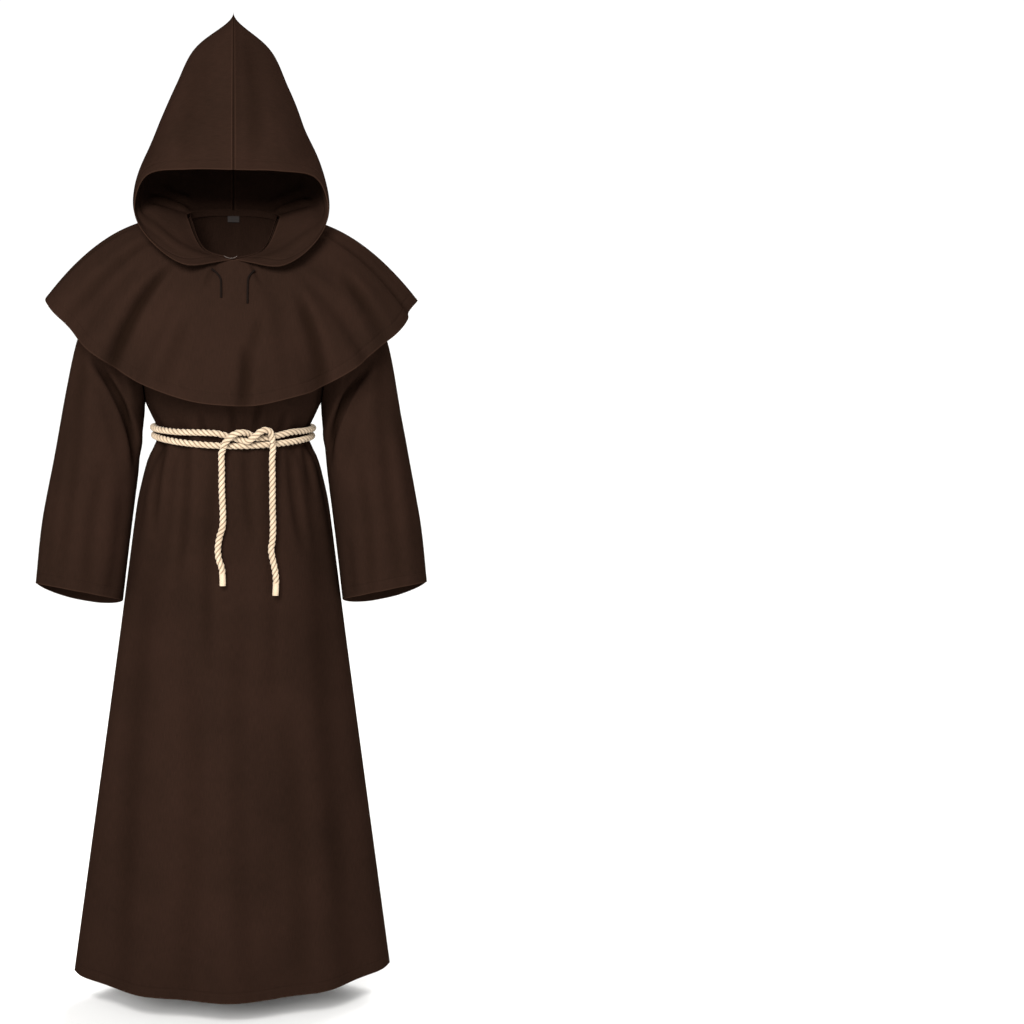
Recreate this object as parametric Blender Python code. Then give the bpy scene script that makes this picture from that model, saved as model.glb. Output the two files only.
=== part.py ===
"""Medieval robe costume: a hooded monk's robe with a shoulder cape and a twisted rope belt.

The garment stands filled out and hollow, as it is worn. The origin is midway between the shoulders
at the base of the neck. +Z is up, the front faces -Y, and every size is in metres.
"""
from collections import namedtuple
from math import ceil, cos, exp, pi, radians, sin

import bmesh
import bpy
from mathutils import Vector

CLOTH = 0.0016
SEAM = 0.0003
ROPE = 0.0116
DRAWSTRING = 0.0034
LABEL = 0.0008
LABEL_ROWS = (0.60, 0.87)
NORMAL_STEP = 0.004

ARMPIT_HEIGHT = -0.320
BELT_HEIGHT = -0.378
SHOULDER_TIP = (0.190, -0.022)
SHOULDER_SLOPE = 1.7
NECK_SHARE = 0.42
NECKLINE_INSET = 0.0028
NECKLINE_DROP = 0.0045
ARMHOLE_BULGE = 0.055
CHEST_CURVE = 2.5
CHEST_BULGE = 0.005

Ring = namedtuple("Ring", "height half_width front back point drop_front drop_back")
BODY_RINGS = (
    Ring(-1.367, 0.2900, 0.168, 0.150, 1.60, 0.009, 0.008),
    Ring(-1.050, 0.2460, 0.150, 0.136, 1.50, 0.005, 0.004),
    Ring(-0.750, 0.2045, 0.135, 0.126, 1.35, 0.002, 0.001),
    Ring(-0.605, 0.1852, 0.128, 0.122, 1.25, 0.0, 0.0),
    Ring(-0.500, 0.1708, 0.122, 0.118, 1.15, 0.0, 0.0),
    Ring(-0.456, 0.1612, 0.117, 0.114, 1.10, 0.0, 0.0),
    Ring(-0.420, 0.1512, 0.111, 0.108, 1.05, 0.0, 0.0),
    Ring(-0.395, 0.1392, 0.105, 0.102, 1.00, 0.0, 0.0),
    Ring(-0.378, 0.1335, 0.103, 0.100, 1.00, 0.0, 0.0),
    Ring(-0.360, 0.1365, 0.105, 0.102, 1.00, 0.0, 0.0),
    Ring(-0.342, 0.1450, 0.110, 0.107, 1.00, 0.0, 0.0),
    Ring(-0.320, 0.1550, 0.118, 0.113, 1.00, 0.0, 0.0),
)
BODY_ROWS = (-1.367, -1.250, -1.100, -0.950, -0.800, -0.680, -0.585, -0.510, -0.455, -0.418, -0.394,
             -0.378, -0.362, -0.342, -0.320)
CHEST_ROWS = (0.14, 0.32, 0.52, 0.72, 0.88, 1.0)
BACK_COLUMNS = 52
FRONT_COLUMNS = 32

Gather = namedtuple("Gather", "across depth width above below drift")
BACK_GATHERS = (
    Gather(-0.86, 0.007, 0.050, 0.10, 0.16, -0.10),
    Gather(-0.70, 0.010, 0.045, 0.13, 0.22, -0.08),
    Gather(-0.53, 0.009, 0.040, 0.09, 0.15, -0.05),
    Gather(-0.38, 0.012, 0.042, 0.15, 0.30, -0.03),
    Gather(-0.24, 0.009, 0.036, 0.10, 0.18, -0.02),
    Gather(-0.10, 0.012, 0.040, 0.16, 0.26, 0.00),
    Gather(0.04, 0.010, 0.036, 0.12, 0.34, 0.00),
    Gather(0.18, 0.012, 0.040, 0.15, 0.22, 0.02),
    Gather(0.33, 0.009, 0.038, 0.11, 0.28, 0.03),
    Gather(0.48, 0.012, 0.042, 0.14, 0.20, 0.05),
    Gather(0.64, 0.009, 0.042, 0.10, 0.24, 0.08),
    Gather(0.81, 0.008, 0.050, 0.12, 0.16, 0.10),
)
FRONT_GATHERS = (
    Gather(-0.78, 0.005, 0.070, 0.07, 0.26, -0.06),
    Gather(-0.50, 0.006, 0.075, 0.09, 0.34, -0.05),
    Gather(-0.22, 0.004, 0.070, 0.06, 0.22, -0.02),
    Gather(0.10, 0.005, 0.070, 0.07, 0.30, 0.01),
    Gather(0.36, 0.006, 0.075, 0.08, 0.24, 0.03),
    Gather(0.60, 0.005, 0.070, 0.07, 0.36, 0.05),
    Gather(0.84, 0.005, 0.060, 0.08, 0.22, 0.07),
)
GATHER_SPREAD = 0.8
GATHER_END = 1.5
SEAM_FADE = 8
SKIRT_WAVES = 5
SKIRT_WAVE_DEPTH = 0.006
SKIRT_WAVE_START = 0.12
SKIRT_WAVE_REACH = 0.80

Cuff = namedtuple("Cuff", "along inner_x inner_z outer_x outer_z depth back_drop")
SLEEVE_RINGS = (
    Cuff(0.00, 0.1550, -0.3200, 0.1900, -0.0220, 0.055, 0.000),
    Cuff(0.10, 0.1570, -0.3340, 0.2170, -0.0580, 0.058, 0.000),
    Cuff(0.22, 0.1590, -0.3500, 0.2450, -0.1220, 0.061, 0.002),
    Cuff(0.36, 0.1620, -0.3900, 0.2725, -0.2030, 0.062, 0.004),
    Cuff(0.50, 0.1680, -0.4480, 0.2920, -0.3000, 0.062, 0.008),
    Cuff(0.66, 0.1770, -0.5160, 0.3140, -0.4150, 0.061, 0.012),
    Cuff(0.83, 0.1870, -0.5940, 0.3365, -0.5320, 0.060, 0.018),
    Cuff(1.00, 0.1965, -0.6760, 0.3500, -0.6450, 0.059, 0.027),
)
CUFF_FRONT_LIFT = 0.37
SLEEVE_BULGE = 0.8
SLEEVE_COLUMNS = 18
SLEEVE_ROWS = 11
Crease = namedtuple("Crease", "x0 z0 x1 z1 depth width")
SLEEVE_CREASE = Crease(0.232, -0.240, 0.168, -0.410, 0.013, 0.017)

Neck = namedtuple("Neck", "angle x y z")
NECK_SEAM = (
    Neck(0, 0.000, -0.100, -0.060),
    Neck(36, 0.052, -0.079, -0.044),
    Neck(76, 0.077, -0.026, 0.004),
    Neck(108, 0.077, 0.020, 0.015),
    Neck(144, 0.046, 0.058, 0.020),
    Neck(180, 0.000, 0.070, 0.021),
)
CAPE_HEM_WIDTH = 0.330
CAPE_HEM_FRONT = 0.172
CAPE_HEM_BACK = 0.180
CAPE_HEM_SIDE_Z = -0.133
CAPE_HEM_FRONT_Z = -0.308
CAPE_HEM_BACK_Z = -0.240
CAPE_HEM_CURVE = 1.65
CAPE_MIDDLE_WIDTH = 0.205
CAPE_MIDDLE_FRONT = 0.143
CAPE_MIDDLE_BACK = 0.140
CAPE_MIDDLE_SIDE_Z = -0.021
CAPE_MIDDLE_FRONT_Z = -0.150
CAPE_MIDDLE_BACK_Z = -0.048
CAPE_LEAN = 0.35
CAPE_END_FADE = 8
CAPE_COLUMNS = 72
CAPE_ROWS = (0.0, 0.14, 0.30, 0.46, 0.62, 0.76, 0.88, 1.0)
CapeFold = namedtuple("CapeFold", "angle depth width reach lean")
CAPE_FOLDS = (
    CapeFold(-170, 0.014, 5.0, 1.6, 2),
    CapeFold(-150, 0.034, 7.0, 1.3, 5),
    CapeFold(-122, 0.026, 7.0, 1.6, 4),
    CapeFold(-96, 0.012, 7.0, 2.2, 2),
    CapeFold(-62, 0.014, 8.0, 1.8, 8),
    CapeFold(-37, 0.026, 7.0, 1.3, 9),
    CapeFold(-12, 0.008, 8.0, 1.6, 3),
    CapeFold(6, 0.012, 8.0, 1.8, 0),
    CapeFold(28, 0.024, 7.0, 1.4, -8),
    CapeFold(50, 0.018, 7.0, 1.6, -8),
    CapeFold(78, 0.012, 8.0, 1.9, -5),
    CapeFold(102, 0.014, 7.0, 2.2, -2),
    CapeFold(124, 0.028, 7.0, 1.5, -4),
    CapeFold(148, 0.036, 7.0, 1.3, -5),
    CapeFold(169, 0.012, 5.0, 1.6, -2),
)

Net = namedtuple("Net", "x y z")
HOOD_NET = (
    (Net(.003, -.1000, -.0600), Net(.052, -.079, -.0440), Net(.077, -.026, .004), Net(.077, .020, .015),
     Net(.046, .058, .020), Net(0, .070, .021)),
    (Net(.080, -.1300, -.0720), Net(.112, -.090, -.028), Net(.130, -.030, .017), Net(.118, .040, .030),
     Net(.066, .082, .046), Net(0, .096, .058)),
    (Net(.142, -.1050, -.0320), Net(.160, -.068, -.002), Net(.162, -.012, .028), Net(.144, .056, .058),
     Net(.084, .108, .088), Net(0, .128, .112)),
    (Net(.171, -.0640, .0200), Net(.173, -.034, .044), Net(.161, .012, .078), Net(.134, .072, .114),
     Net(.080, .124, .150), Net(0, .144, .182)),
    (Net(.149, -.0800, .0790), Net(.151, -.048, .106), Net(.141, .004, .144), Net(.118, .060, .186),
     Net(.072, .108, .226), Net(0, .126, .262)),
    (Net(.080, -.1220, .0900), Net(.093, -.094, .144), Net(.095, -.047, .202), Net(.0855, .002, .256),
     Net(.0655, .042, .304), Net(0, .076, .334)),
    (Net(0, -.1400, .0905), Net(0, -.116, .156), Net(0, -.088, .222), Net(0, -.056, .282),
     Net(0, -.014, .338), Net(0, .026, .367)),
)
HOOD_MIDDLE = (0, 0.010, 0.130)
# The right half is a little narrower above the brim, by this share of its width.
HOOD_RIGHT_NARROWER = 0.035
NEAR_SEAM = 0.004
HOOD_COLUMNS = 11
HOOD_ROWS = 13

Turn = namedtuple("Turn", "x z layer")
KNOT_FROM_RIGHT = (
    Turn(0.0792, -0.3681, 0.0), Turn(0.0635, -0.3712, 0.0), Turn(0.0496, -0.3718, 0.0),
    Turn(0.0374, -0.3712, 0.0), Turn(0.0265, -0.3638, 0.25), Turn(0.0131, -0.3603, 0.95),
    Turn(0.0009, -0.3634, 1.1), Turn(-0.0087, -0.3716, 1.1), Turn(-0.0145, -0.3790, 1.1),
    Turn(-0.0170, -0.3870, 1.1),
)
KNOT_FROM_LEFT = (
    Turn(-0.0392, -0.3628, 0.0), Turn(-0.0218, -0.3650, 0.0), Turn(-0.0044, -0.3700, 0.0),
    Turn(0.0131, -0.3742, 0.25), Turn(0.0252, -0.3758, 0.85), Turn(0.0357, -0.3683, 1.1),
    Turn(0.0461, -0.3596, 1.1), Turn(0.0557, -0.3564, 1.1), Turn(0.0635, -0.3600, 1.1),
    Turn(0.0668, -0.3700, 1.1), Turn(0.0675, -0.3790, 1.1),
)
HANGING_LEFT = (
    Turn(-0.0205, -0.4100, 0.8), Turn(-0.0202, -0.4300, 0.5),
    Turn(-0.0200, -0.4630, 0.3), Turn(-0.0183, -0.5000, 0.2), Turn(-0.0190, -0.5245, 0.2),
    Turn(-0.0235, -0.5400, 0.2), Turn(-0.0268, -0.5600, 0.2), Turn(-0.0258, -0.5790, 0.2),
    Turn(-0.0205, -0.5960, 0.2), Turn(-0.0190, -0.6100, 0.2), Turn(-0.0186, -0.6275, 0.2),
)
HANGING_RIGHT = (
    Turn(0.0672, -0.4050, 0.8), Turn(0.0672, -0.4250, 0.5),
    Turn(0.0677, -0.4510, 0.3), Turn(0.0677, -0.4877, 0.2), Turn(0.0687, -0.5245, 0.2),
    Turn(0.0677, -0.5490, 0.2), Turn(0.0655, -0.5650, 0.2), Turn(0.0677, -0.5813, 0.2),
    Turn(0.0722, -0.6030, 0.2), Turn(0.0740, -0.6224, 0.2), Turn(0.0730, -0.6470, 0.2),
)
UPPER_TURN_FRONT = -0.3640
UPPER_TURN_BACK = -0.3760
LOWER_TURN_FRONT = -0.3853
LOWER_TURN_SIDE = -0.3780
LOWER_TURN_BACK = -0.3884
UPPER_TURN_ANGLES = range(46, 320, 13)
ROPE_CLEARANCE = 0.0010
KNOT_CLEARANCE = 0.0022
TURN_POINTS = 44
TURN_SPACING = 0.015
END_SPACING = 0.012
STRING_SPACING = 0.006
CURVE_SAMPLES = 24

STRING_CLEARANCE = 0.0008
SEATING_STEPS = 60
SEATING_START = 0.2
OUT_PER_METRE = 1.5
DEGREES_PER_METRE = 180
STRING_LEFT = ((-0.037, -0.080), (-0.028, -0.087), (-0.022, -0.096), (-0.021, -0.108), (-0.021, -0.127))
STRING_RIGHT = ((0.036, -0.081), (0.029, -0.088), (0.025, -0.096), (0.024, -0.112), (0.0237, -0.136))

Finish = namedtuple("Finish", "colour roughness")
BROWN_CLOTH = Finish((54, 38, 31), 0.85)
COTTON_ROPE = Finish((226, 203, 163), 0.8)
DARK_CORD = Finish((33, 23, 19), 0.7)
GREY_LABEL = Finish((110, 106, 104), 0.7)


def srgb_to_linear(level):
    """Linear value of one colour channel given from 0 to 255."""
    share = level / 255
    return share / 12.92 if share <= 0.04045 else ((share + 0.055) / 1.055) ** 2.4


def make_material(name, finish):
    """A Principled material of one plain colour."""
    material = bpy.data.materials.new(name)
    material.use_nodes = True
    shader = material.node_tree.nodes["Principled BSDF"]
    shader.inputs["Base Color"].default_value = [srgb_to_linear(c) for c in finish.colour] + [1.0]
    shader.inputs["Roughness"].default_value = finish.roughness
    return material


def smooth_step(value):
    """0 below 0, 1 above 1, and a smooth rise between them."""
    value = min(max(value, 0.0), 1.0)
    return value * value * (3 - 2 * value)


def blend(a, b, c, d, t):
    """Catmull-Rom value between b and c."""
    return 0.5 * (2 * b + (c - a) * t + (2 * a - 5 * b + 4 * c - d) * t * t
                  + (3 * b - a - 3 * c + d) * t ** 3)


def through(points, share):
    """Point at a share of the way along a smooth curve through the points."""
    place = min(max(share, 0.0), 1.0) * (len(points) - 1)
    start = min(int(place), len(points) - 2)
    near = [points[min(max(start + k, 0), len(points) - 1)] for k in (-1, 0, 1, 2)]
    return blend(*near, place - start)


def from_table(rows, key, value):
    """All columns of a table, read smoothly at a value of its key column."""
    keys = [getattr(row, key) for row in rows]
    value = min(max(value, keys[0]), keys[-1])
    start = max(i for i in range(len(rows) - 1) if keys[i] <= value)
    here, there = Vector(rows[start]), Vector(rows[start + 1])
    before = Vector(rows[start - 1]) if start else here
    after = Vector(rows[start + 2]) if start + 2 < len(rows) else there
    step = keys[start + 1] - keys[start]
    slope_here = (there - before) / (keys[start + 1] - (keys[start - 1] if start else keys[start]))
    last = keys[start + 2] if start + 2 < len(rows) else keys[start + 1]
    slope_there = (after - here) / (last - keys[start])
    t = (value - keys[start]) / step
    mixed = (here * (2 * t ** 3 - 3 * t * t + 1) + slope_here * step * (t ** 3 - 2 * t * t + t)
             + there * (3 * t * t - 2 * t ** 3) + slope_there * step * (t ** 3 - t * t))
    return type(rows[0])(*mixed)


def gather_depth(gathers, across, height):
    """How far the gathers pull the cloth in at a place on a panel."""
    total = 0.0
    for gather in gathers:
        away = height - BELT_HEIGHT
        reach = gather.above if away > 0 else gather.below
        spent = min(abs(away) / reach, GATHER_END)
        centre = gather.across + gather.drift * spent
        width = gather.width * (1 + GATHER_SPREAD * spent)
        fade = exp(-(away / reach) ** 2)
        total += gather.depth * fade * exp(-((across - centre) / width) ** 2)
    return total


def skirt_wave(across, height):
    """Soft waves that open towards the hem."""
    grow = smooth_step((BELT_HEIGHT - SKIRT_WAVE_START - height) / SKIRT_WAVE_REACH)
    return SKIRT_WAVE_DEPTH * grow * cos(pi * SKIRT_WAVES * across) * (1 - across * across)


def body_ring(across, height, side):
    """Point of the skirt or waist; side is -1 for the front and 1 for the back."""
    ring = from_table(BODY_RINGS, "height", height)
    front = side < 0
    angle = across * pi / 2
    depth = ring.front if front else ring.back
    bulge = max(cos(angle), 0.0) ** ring.point
    drop = (ring.drop_front if front else ring.drop_back) * bulge
    gathers = FRONT_GATHERS if front else BACK_GATHERS
    pull = gather_depth(gathers, across, height) - skirt_wave(across, height)
    pull *= smooth_step((1 - abs(across)) * SEAM_FADE)
    point = Vector((ring.half_width * sin(angle), side * depth * bulge, height - drop))
    outward = Vector((sin(angle) / ring.half_width, side * cos(angle) / depth, 0)).normalized()
    return point - outward * pull


def neckline(share, side):
    """Top edge of a panel from the centre (0), just inside the neck seam, to the shoulder tip (1)."""
    turn = min(share / NECK_SHARE, 1.0) * 90
    seam, at_shoulder = neck_point(turn if side < 0 else 180 - turn), neck_point(90)
    level = Vector((seam.x, seam.y - at_shoulder.y * (turn / 90) ** 2, 0))
    point = level * (1 - NECKLINE_INSET / level.length) + Vector((0, 0, seam.z - NECKLINE_DROP))
    if share > NECK_SHARE:
        t = (share - NECK_SHARE) / (1 - NECK_SHARE)
        point = Vector((point.x + (SHOULDER_TIP[0] - point.x) * t, 0,
                        point.z + (SHOULDER_TIP[1] - point.z) * t ** SHOULDER_SLOPE))
    return point


def armhole(rise, side):
    """Edge of the armhole from the armpit (0) to the shoulder tip (1)."""
    width = BODY_RINGS[-1].half_width
    return Vector((width + (SHOULDER_TIP[0] - width) * rise,
                   side * ARMHOLE_BULGE * sin(pi * rise) ** 0.8 if 0 < rise < 1 else 0,
                   ARMPIT_HEIGHT + (SHOULDER_TIP[1] - ARMPIT_HEIGHT) * rise))


def centre_line(rise, side):
    """Centre of the chest or back from the armpit height (0) to the neckline (1)."""
    ring, top = BODY_RINGS[-1], neckline(0, side)
    start = side * (ring.front if side < 0 else ring.back)
    return Vector((0, start + (top.y - start) * rise ** CHEST_CURVE + side * CHEST_BULGE * sin(pi * rise),
                   ARMPIT_HEIGHT + (top.z - ARMPIT_HEIGHT) * rise))


def body_point(across, rise, side):
    """Point of a panel: rise is a depth below the armpit under 0, and runs to 1 over the chest."""
    if rise < 0:
        point = body_ring(across, ARMPIT_HEIGHT + rise, side)
    else:
        share = abs(across)
        low = body_ring(across, ARMPIT_HEIGHT, side)
        low.x = abs(low.x)
        top = neckline(share, side)
        middle, edge = centre_line(rise, side), armhole(rise, side)
        corners = ((1 - share) * (1 - rise) * centre_line(0, side) + share * (1 - rise) * armhole(0, side)
                   + (1 - share) * rise * neckline(0, side) + share * rise * neckline(1, side))
        point = (1 - rise) * low + rise * top + (1 - share) * middle + share * edge - corners
        point.x *= 1 if across >= 0 else -1
    point.y += side * SEAM / 2
    return point


def build_wall(name, surface, columns, rows, at_seam, turn=1, closed=False, thick=CLOTH):
    """A cloth wall: a grid laid on surface(column, row) and thickened to the inside.

    at_seam(column, row, normal) gives the outward direction of the wall's thickness, which at a
    seam is the one that the neighbouring piece has too.
    """
    mesh = bmesh.new()
    column_tag = mesh.verts.layers.int.new("column")
    row_tag = mesh.verts.layers.int.new("row")
    bmesh.ops.create_grid(mesh, x_segments=len(columns) - 1, y_segments=len(rows) - 1, size=1)
    for vert in mesh.verts:
        vert[column_tag] = round((vert.co.x + 1) / 2 * (len(columns) - 1))
        vert[row_tag] = round((vert.co.y + 1) / 2 * (len(rows) - 1))
    for vert in mesh.verts:
        vert.co = surface(columns[vert[column_tag]], rows[vert[row_tag]])
    if closed:
        bmesh.ops.remove_doubles(mesh, verts=mesh.verts, dist=1e-5)
    shell = bmesh.ops.extrude_face_region(mesh, geom=mesh.faces[:], use_keep_orig=True)
    for vert in (item for item in shell["geom"] if isinstance(item, bmesh.types.BMVert)):
        column, row = columns[vert[column_tag]], rows[vert[row_tag]]
        normal = turn * outward(surface, column, row, columns, rows, closed)
        vert.co -= at_seam(column, row, normal) * thick
    bmesh.ops.recalc_face_normals(mesh, faces=mesh.faces)
    if mesh.calc_volume(signed=True) < 0:
        bmesh.ops.reverse_faces(mesh, faces=mesh.faces)
    return add_object(name, mesh)


def outward(surface, column, row, columns, rows, closed):
    """Unit normal of a surface at a grid point, to the left of its rows as they climb."""
    wide, tall = NORMAL_STEP * (columns[-1] - columns[0]), NORMAL_STEP * (rows[-1] - rows[0])
    left, right = column - wide, column + wide
    if not closed:
        left, right = max(left, columns[0]), min(right, columns[-1])
    low, high = max(row - tall, rows[0]), min(row + tall, rows[-1])
    run = surface(right, row) - surface(left, row)
    climb = surface(column, high) - surface(column, low)
    return run.cross(climb).normalized()


def square_to(axis, normal):
    """The normal with its part along an axis taken out."""
    return (normal - axis * normal.dot(axis)).normalized()


def add_object(name, mesh):
    """Store a bmesh as a smooth-shaded object of the costume."""
    data = bpy.data.meshes.new(name)
    mesh.to_mesh(data)
    mesh.free()
    data.shade_smooth()
    item = bpy.data.objects.new(name, data)
    costume.objects.link(item)
    return item


def spread(count):
    """Evenly spaced shares from 0 to 1."""
    return [i / count for i in range(count + 1)]


def build_panel(name, side, columns):
    """The front (side -1) or back (side 1) panel of the robe, with half of each armhole."""
    across = [2 * share - 1 for share in spread(columns)]

    def surface(column, row):
        return body_point(column, row, side)

    def at_seam(column, row, normal):
        at_side = abs(column) > 0.999 and row <= 0
        at_shoulder = row > 0.999 and abs(column) >= NECK_SHARE
        return square_to(Vector((0, 1, 0)), normal) if at_side or at_shoulder else normal

    rows = [height - ARMPIT_HEIGHT for height in BODY_ROWS] + list(CHEST_ROWS)
    return build_wall(name, surface, across, rows, at_seam, turn=-side)


def sleeve_point(around, along, hand):
    """Point of a sleeve: around runs from the underarm by the front to the top and on by the back."""
    ring = from_table(SLEEVE_RINGS, "along", along)
    angle = 2 * pi * around
    inner, outer = Vector((ring.inner_x, 0, ring.inner_z)), Vector((ring.outer_x, 0, ring.outer_z))
    point = (inner + outer) / 2 + (inner - outer) / 2 * cos(angle)
    forward = sin(angle)
    point.y = -ring.depth * abs(forward) ** SLEEVE_BULGE * (1 if forward > 0 else -1)
    point.z += ring.back_drop * forward * (CUFF_FRONT_LIFT if forward > 0 else 1)
    if forward > 0:
        point.y += crease_depth(SLEEVE_CREASE, point) * forward
    point.x += SEAM + 0.0002
    point.x *= hand
    return point


def crease_depth(crease, point):
    """How deep a crease lies at a point, seen from the front."""
    start, run = Vector((crease.x0, crease.z0)), Vector((crease.x1 - crease.x0, crease.z1 - crease.z0))
    here = Vector((point.x, point.z)) - start
    share = here.dot(run) / run.length_squared
    away = (here - run * min(max(share, 0.0), 1.0)).length
    return crease.depth * exp(-(away / crease.width) ** 2)


def build_sleeve(name, hand):
    """One sleeve, a tube from the armhole to the cuff; hand is 1 at +X and -1 at -X."""
    def surface(column, row):
        return sleeve_point(column, row, hand)

    def at_seam(column, row, normal):
        return square_to(Vector((1, 0, 0)), normal) if row < 0.001 else normal

    return build_wall(name, surface, spread(SLEEVE_COLUMNS), spread(SLEEVE_ROWS), at_seam,
                      turn=-hand, closed=True)


def neck_point(angle):
    """Point of the neck seam of hood and cape at an angle from the front, mirrored for -X."""
    point = from_table(NECK_SEAM, "angle", abs(angle))
    return Vector((point.x if angle >= 0 else -point.x, point.y, point.z))


def cape_hem(angle):
    """Point of the cape's hem at an angle from the front in degrees."""
    turn = radians(angle)
    front = cos(turn) > 0
    depth = CAPE_HEM_FRONT if front else CAPE_HEM_BACK
    low = CAPE_HEM_FRONT_Z if front else CAPE_HEM_BACK_Z
    drop = abs(cos(turn)) ** CAPE_HEM_CURVE
    return Vector((CAPE_HEM_WIDTH * sin(turn), -depth * cos(turn),
                   CAPE_HEM_SIDE_Z + (low - CAPE_HEM_SIDE_Z) * drop))


def cape_point(angle, out):
    """Point of the cape at an angle from the front in degrees, and a share out from the neck."""
    start, hem = neck_point(angle), cape_hem(angle)
    start.z -= CLOTH + SEAM
    turn = radians(angle)
    front = cos(turn) > 0
    depth = CAPE_MIDDLE_FRONT if front else CAPE_MIDDLE_BACK
    low = CAPE_MIDDLE_FRONT_Z if front else CAPE_MIDDLE_BACK_Z
    middle = Vector((CAPE_MIDDLE_WIDTH * sin(turn), -depth * cos(turn),
                     CAPE_MIDDLE_SIDE_Z * sin(turn) ** 2 + low * cos(turn) ** 2))
    bend = 4 * middle - start - hem
    point = start * (1 - out) ** 2 + bend * out * (1 - out) + hem * out ** 2
    pull = sum(fold.depth * out ** fold.reach
               * exp(-((angle - fold.angle - fold.lean * (1 - out)) / fold.width) ** 2)
               for fold in CAPE_FOLDS)
    ends = smooth_step((180 - abs(angle)) / CAPE_END_FADE)
    outward = Vector((sin(turn), -cos(turn), CAPE_LEAN)).normalized()
    point -= outward * pull * ends
    if abs(angle) > 179.9:
        point.x = SEAM / 2 if angle > 0 else -SEAM / 2
    return point


def build_cape(name):
    """The shoulder cape, one wall round the neck whose two ends meet at the centre back."""
    angles = [-180 + 360 * share for share in spread(CAPE_COLUMNS)]

    def at_seam(column, row, normal):
        return square_to(Vector((1, 0, 0)), normal) if abs(column) > 179.9 else normal

    return build_wall(name, cape_point, angles, CAPE_ROWS, at_seam, turn=-1)


def hood_point(across, up, hand):
    """Point of one half of the hood, smooth through its net from the face edge to the back seam."""
    columns = [through([Vector(net) for net in row], across) for row in HOOD_NET]
    point = through(columns, up)
    if hand > 0:
        point.x *= 1 - HOOD_RIGHT_NARROWER * smooth_step((up - 0.2) / 0.3)
    point.x = max(point.x, 0.0) + SEAM / 2
    point.x *= hand
    return point


def build_hood(name, hand):
    """One half of the hood; hand is 1 at +X and -1 at -X."""
    def surface(column, row):
        return hood_point(column, row, hand)

    def at_seam(column, row, normal):
        place = surface(column, row)
        if abs(place.x) > NEAR_SEAM and column < 0.999 and row < 0.999:
            return normal
        away = place - Vector(HOOD_MIDDLE)
        return Vector((0, away.y, away.z)).normalized()

    return build_wall(name, surface, spread(HOOD_COLUMNS), spread(HOOD_ROWS), at_seam, turn=hand)


def front_depth(x, height):
    """How far in front of the origin's plane the cloth of the robe lies."""
    ring = from_table(BODY_RINGS, "height", height)
    share = min(abs(x) / ring.half_width, 1.0)
    return ring.front * (1 - share * share) ** (ring.point / 2)


def rope_place(turn):
    """Centre of the rope at a place in front of the robe; layer 1 lies one rope in front of layer 0."""
    rest = front_depth(turn.x, turn.z) + ROPE / 2 + KNOT_CLEARANCE
    return Vector((turn.x, -rest - turn.layer * ROPE, turn.z))


def hanging_route(last, before, hanging):
    """Route of a hanging end, straight on from the knot's exit and down to its free tip."""
    along = (last - before).normalized()
    return [last + along * 2 * SEAM, last + along * ROPE] + [rope_place(turn) for turn in hanging]


def belt_place(angle, height):
    """Centre of the rope round the waist at an angle from the front in degrees."""
    ring = from_table(BODY_RINGS, "height", height)
    turn = radians(angle)
    depth = ring.front if cos(turn) > 0 else ring.back
    point = Vector((ring.half_width * sin(turn), -depth * cos(turn), height))
    outward = Vector((sin(turn) / ring.half_width, -cos(turn) / depth, 0)).normalized()
    return point + outward * (ROPE / 2 + ROPE_CLEARANCE)


def even_points(route, spacing):
    """Evenly spaced points on a smooth curve through a route's own points."""
    count = len(route) * CURVE_SAMPLES
    fine = [through(route, i / count) for i in range(count + 1)]
    lengths = [0.0]
    for a, b in zip(fine, fine[1:]):
        lengths.append(lengths[-1] + (b - a).length)
    count = ceil(lengths[-1] / spacing)
    points, at = [], 0
    for k in range(count + 1):
        goal = lengths[-1] * k / count
        while at < len(fine) - 2 and lengths[at + 1] < goal:
            at += 1
        span = lengths[at + 1] - lengths[at]
        points.append(fine[at].lerp(fine[at + 1], min((goal - lengths[at]) / span, 1.0)))
    return points


def build_tube(name, points, diameter, cyclic=False):
    """A round cord along points, as a curve with a bevel and filled caps."""
    data = bpy.data.curves.new(name, "CURVE")
    data.dimensions = "3D"
    spline = data.splines.new("POLY")
    spline.points.add(len(points) - 1)
    for slot, point in zip(spline.points, points):
        slot.co = (*point, 1)
    spline.use_cyclic_u = cyclic
    data.bevel_depth = diameter / 2
    data.bevel_resolution = 2
    data.use_fill_caps = not cyclic
    item = bpy.data.objects.new(name, data)
    costume.objects.link(item)
    return item


def turn_height(angle, front, side, back):
    """Height of a turn of the belt at an angle from the front."""
    share = cos(radians(angle))
    return side + ((front - side) * share ** 2 if share > 0 else (back - side) * share ** 2)


def build_lower_turn(name):
    """The lower turn of the rope, which runs round the waist behind the two hanging ends."""
    points = []
    for k in range(TURN_POINTS):
        angle = 360 * k / TURN_POINTS
        height = turn_height(angle, LOWER_TURN_FRONT, LOWER_TURN_SIDE, LOWER_TURN_BACK)
        points.append(belt_place(angle, height))
    return build_tube(name, points, ROPE, cyclic=True)


def upper_turn_route():
    """The upper turn from the knot's left exit, through the knot, round the waist and back."""
    route = [rope_place(turn) for turn in reversed(KNOT_FROM_RIGHT)]
    for angle in UPPER_TURN_ANGLES:
        height = turn_height(angle, UPPER_TURN_FRONT, UPPER_TURN_FRONT, UPPER_TURN_BACK)
        route.append(belt_place(angle, height))
    return route + [rope_place(turn) for turn in KNOT_FROM_LEFT]


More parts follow.
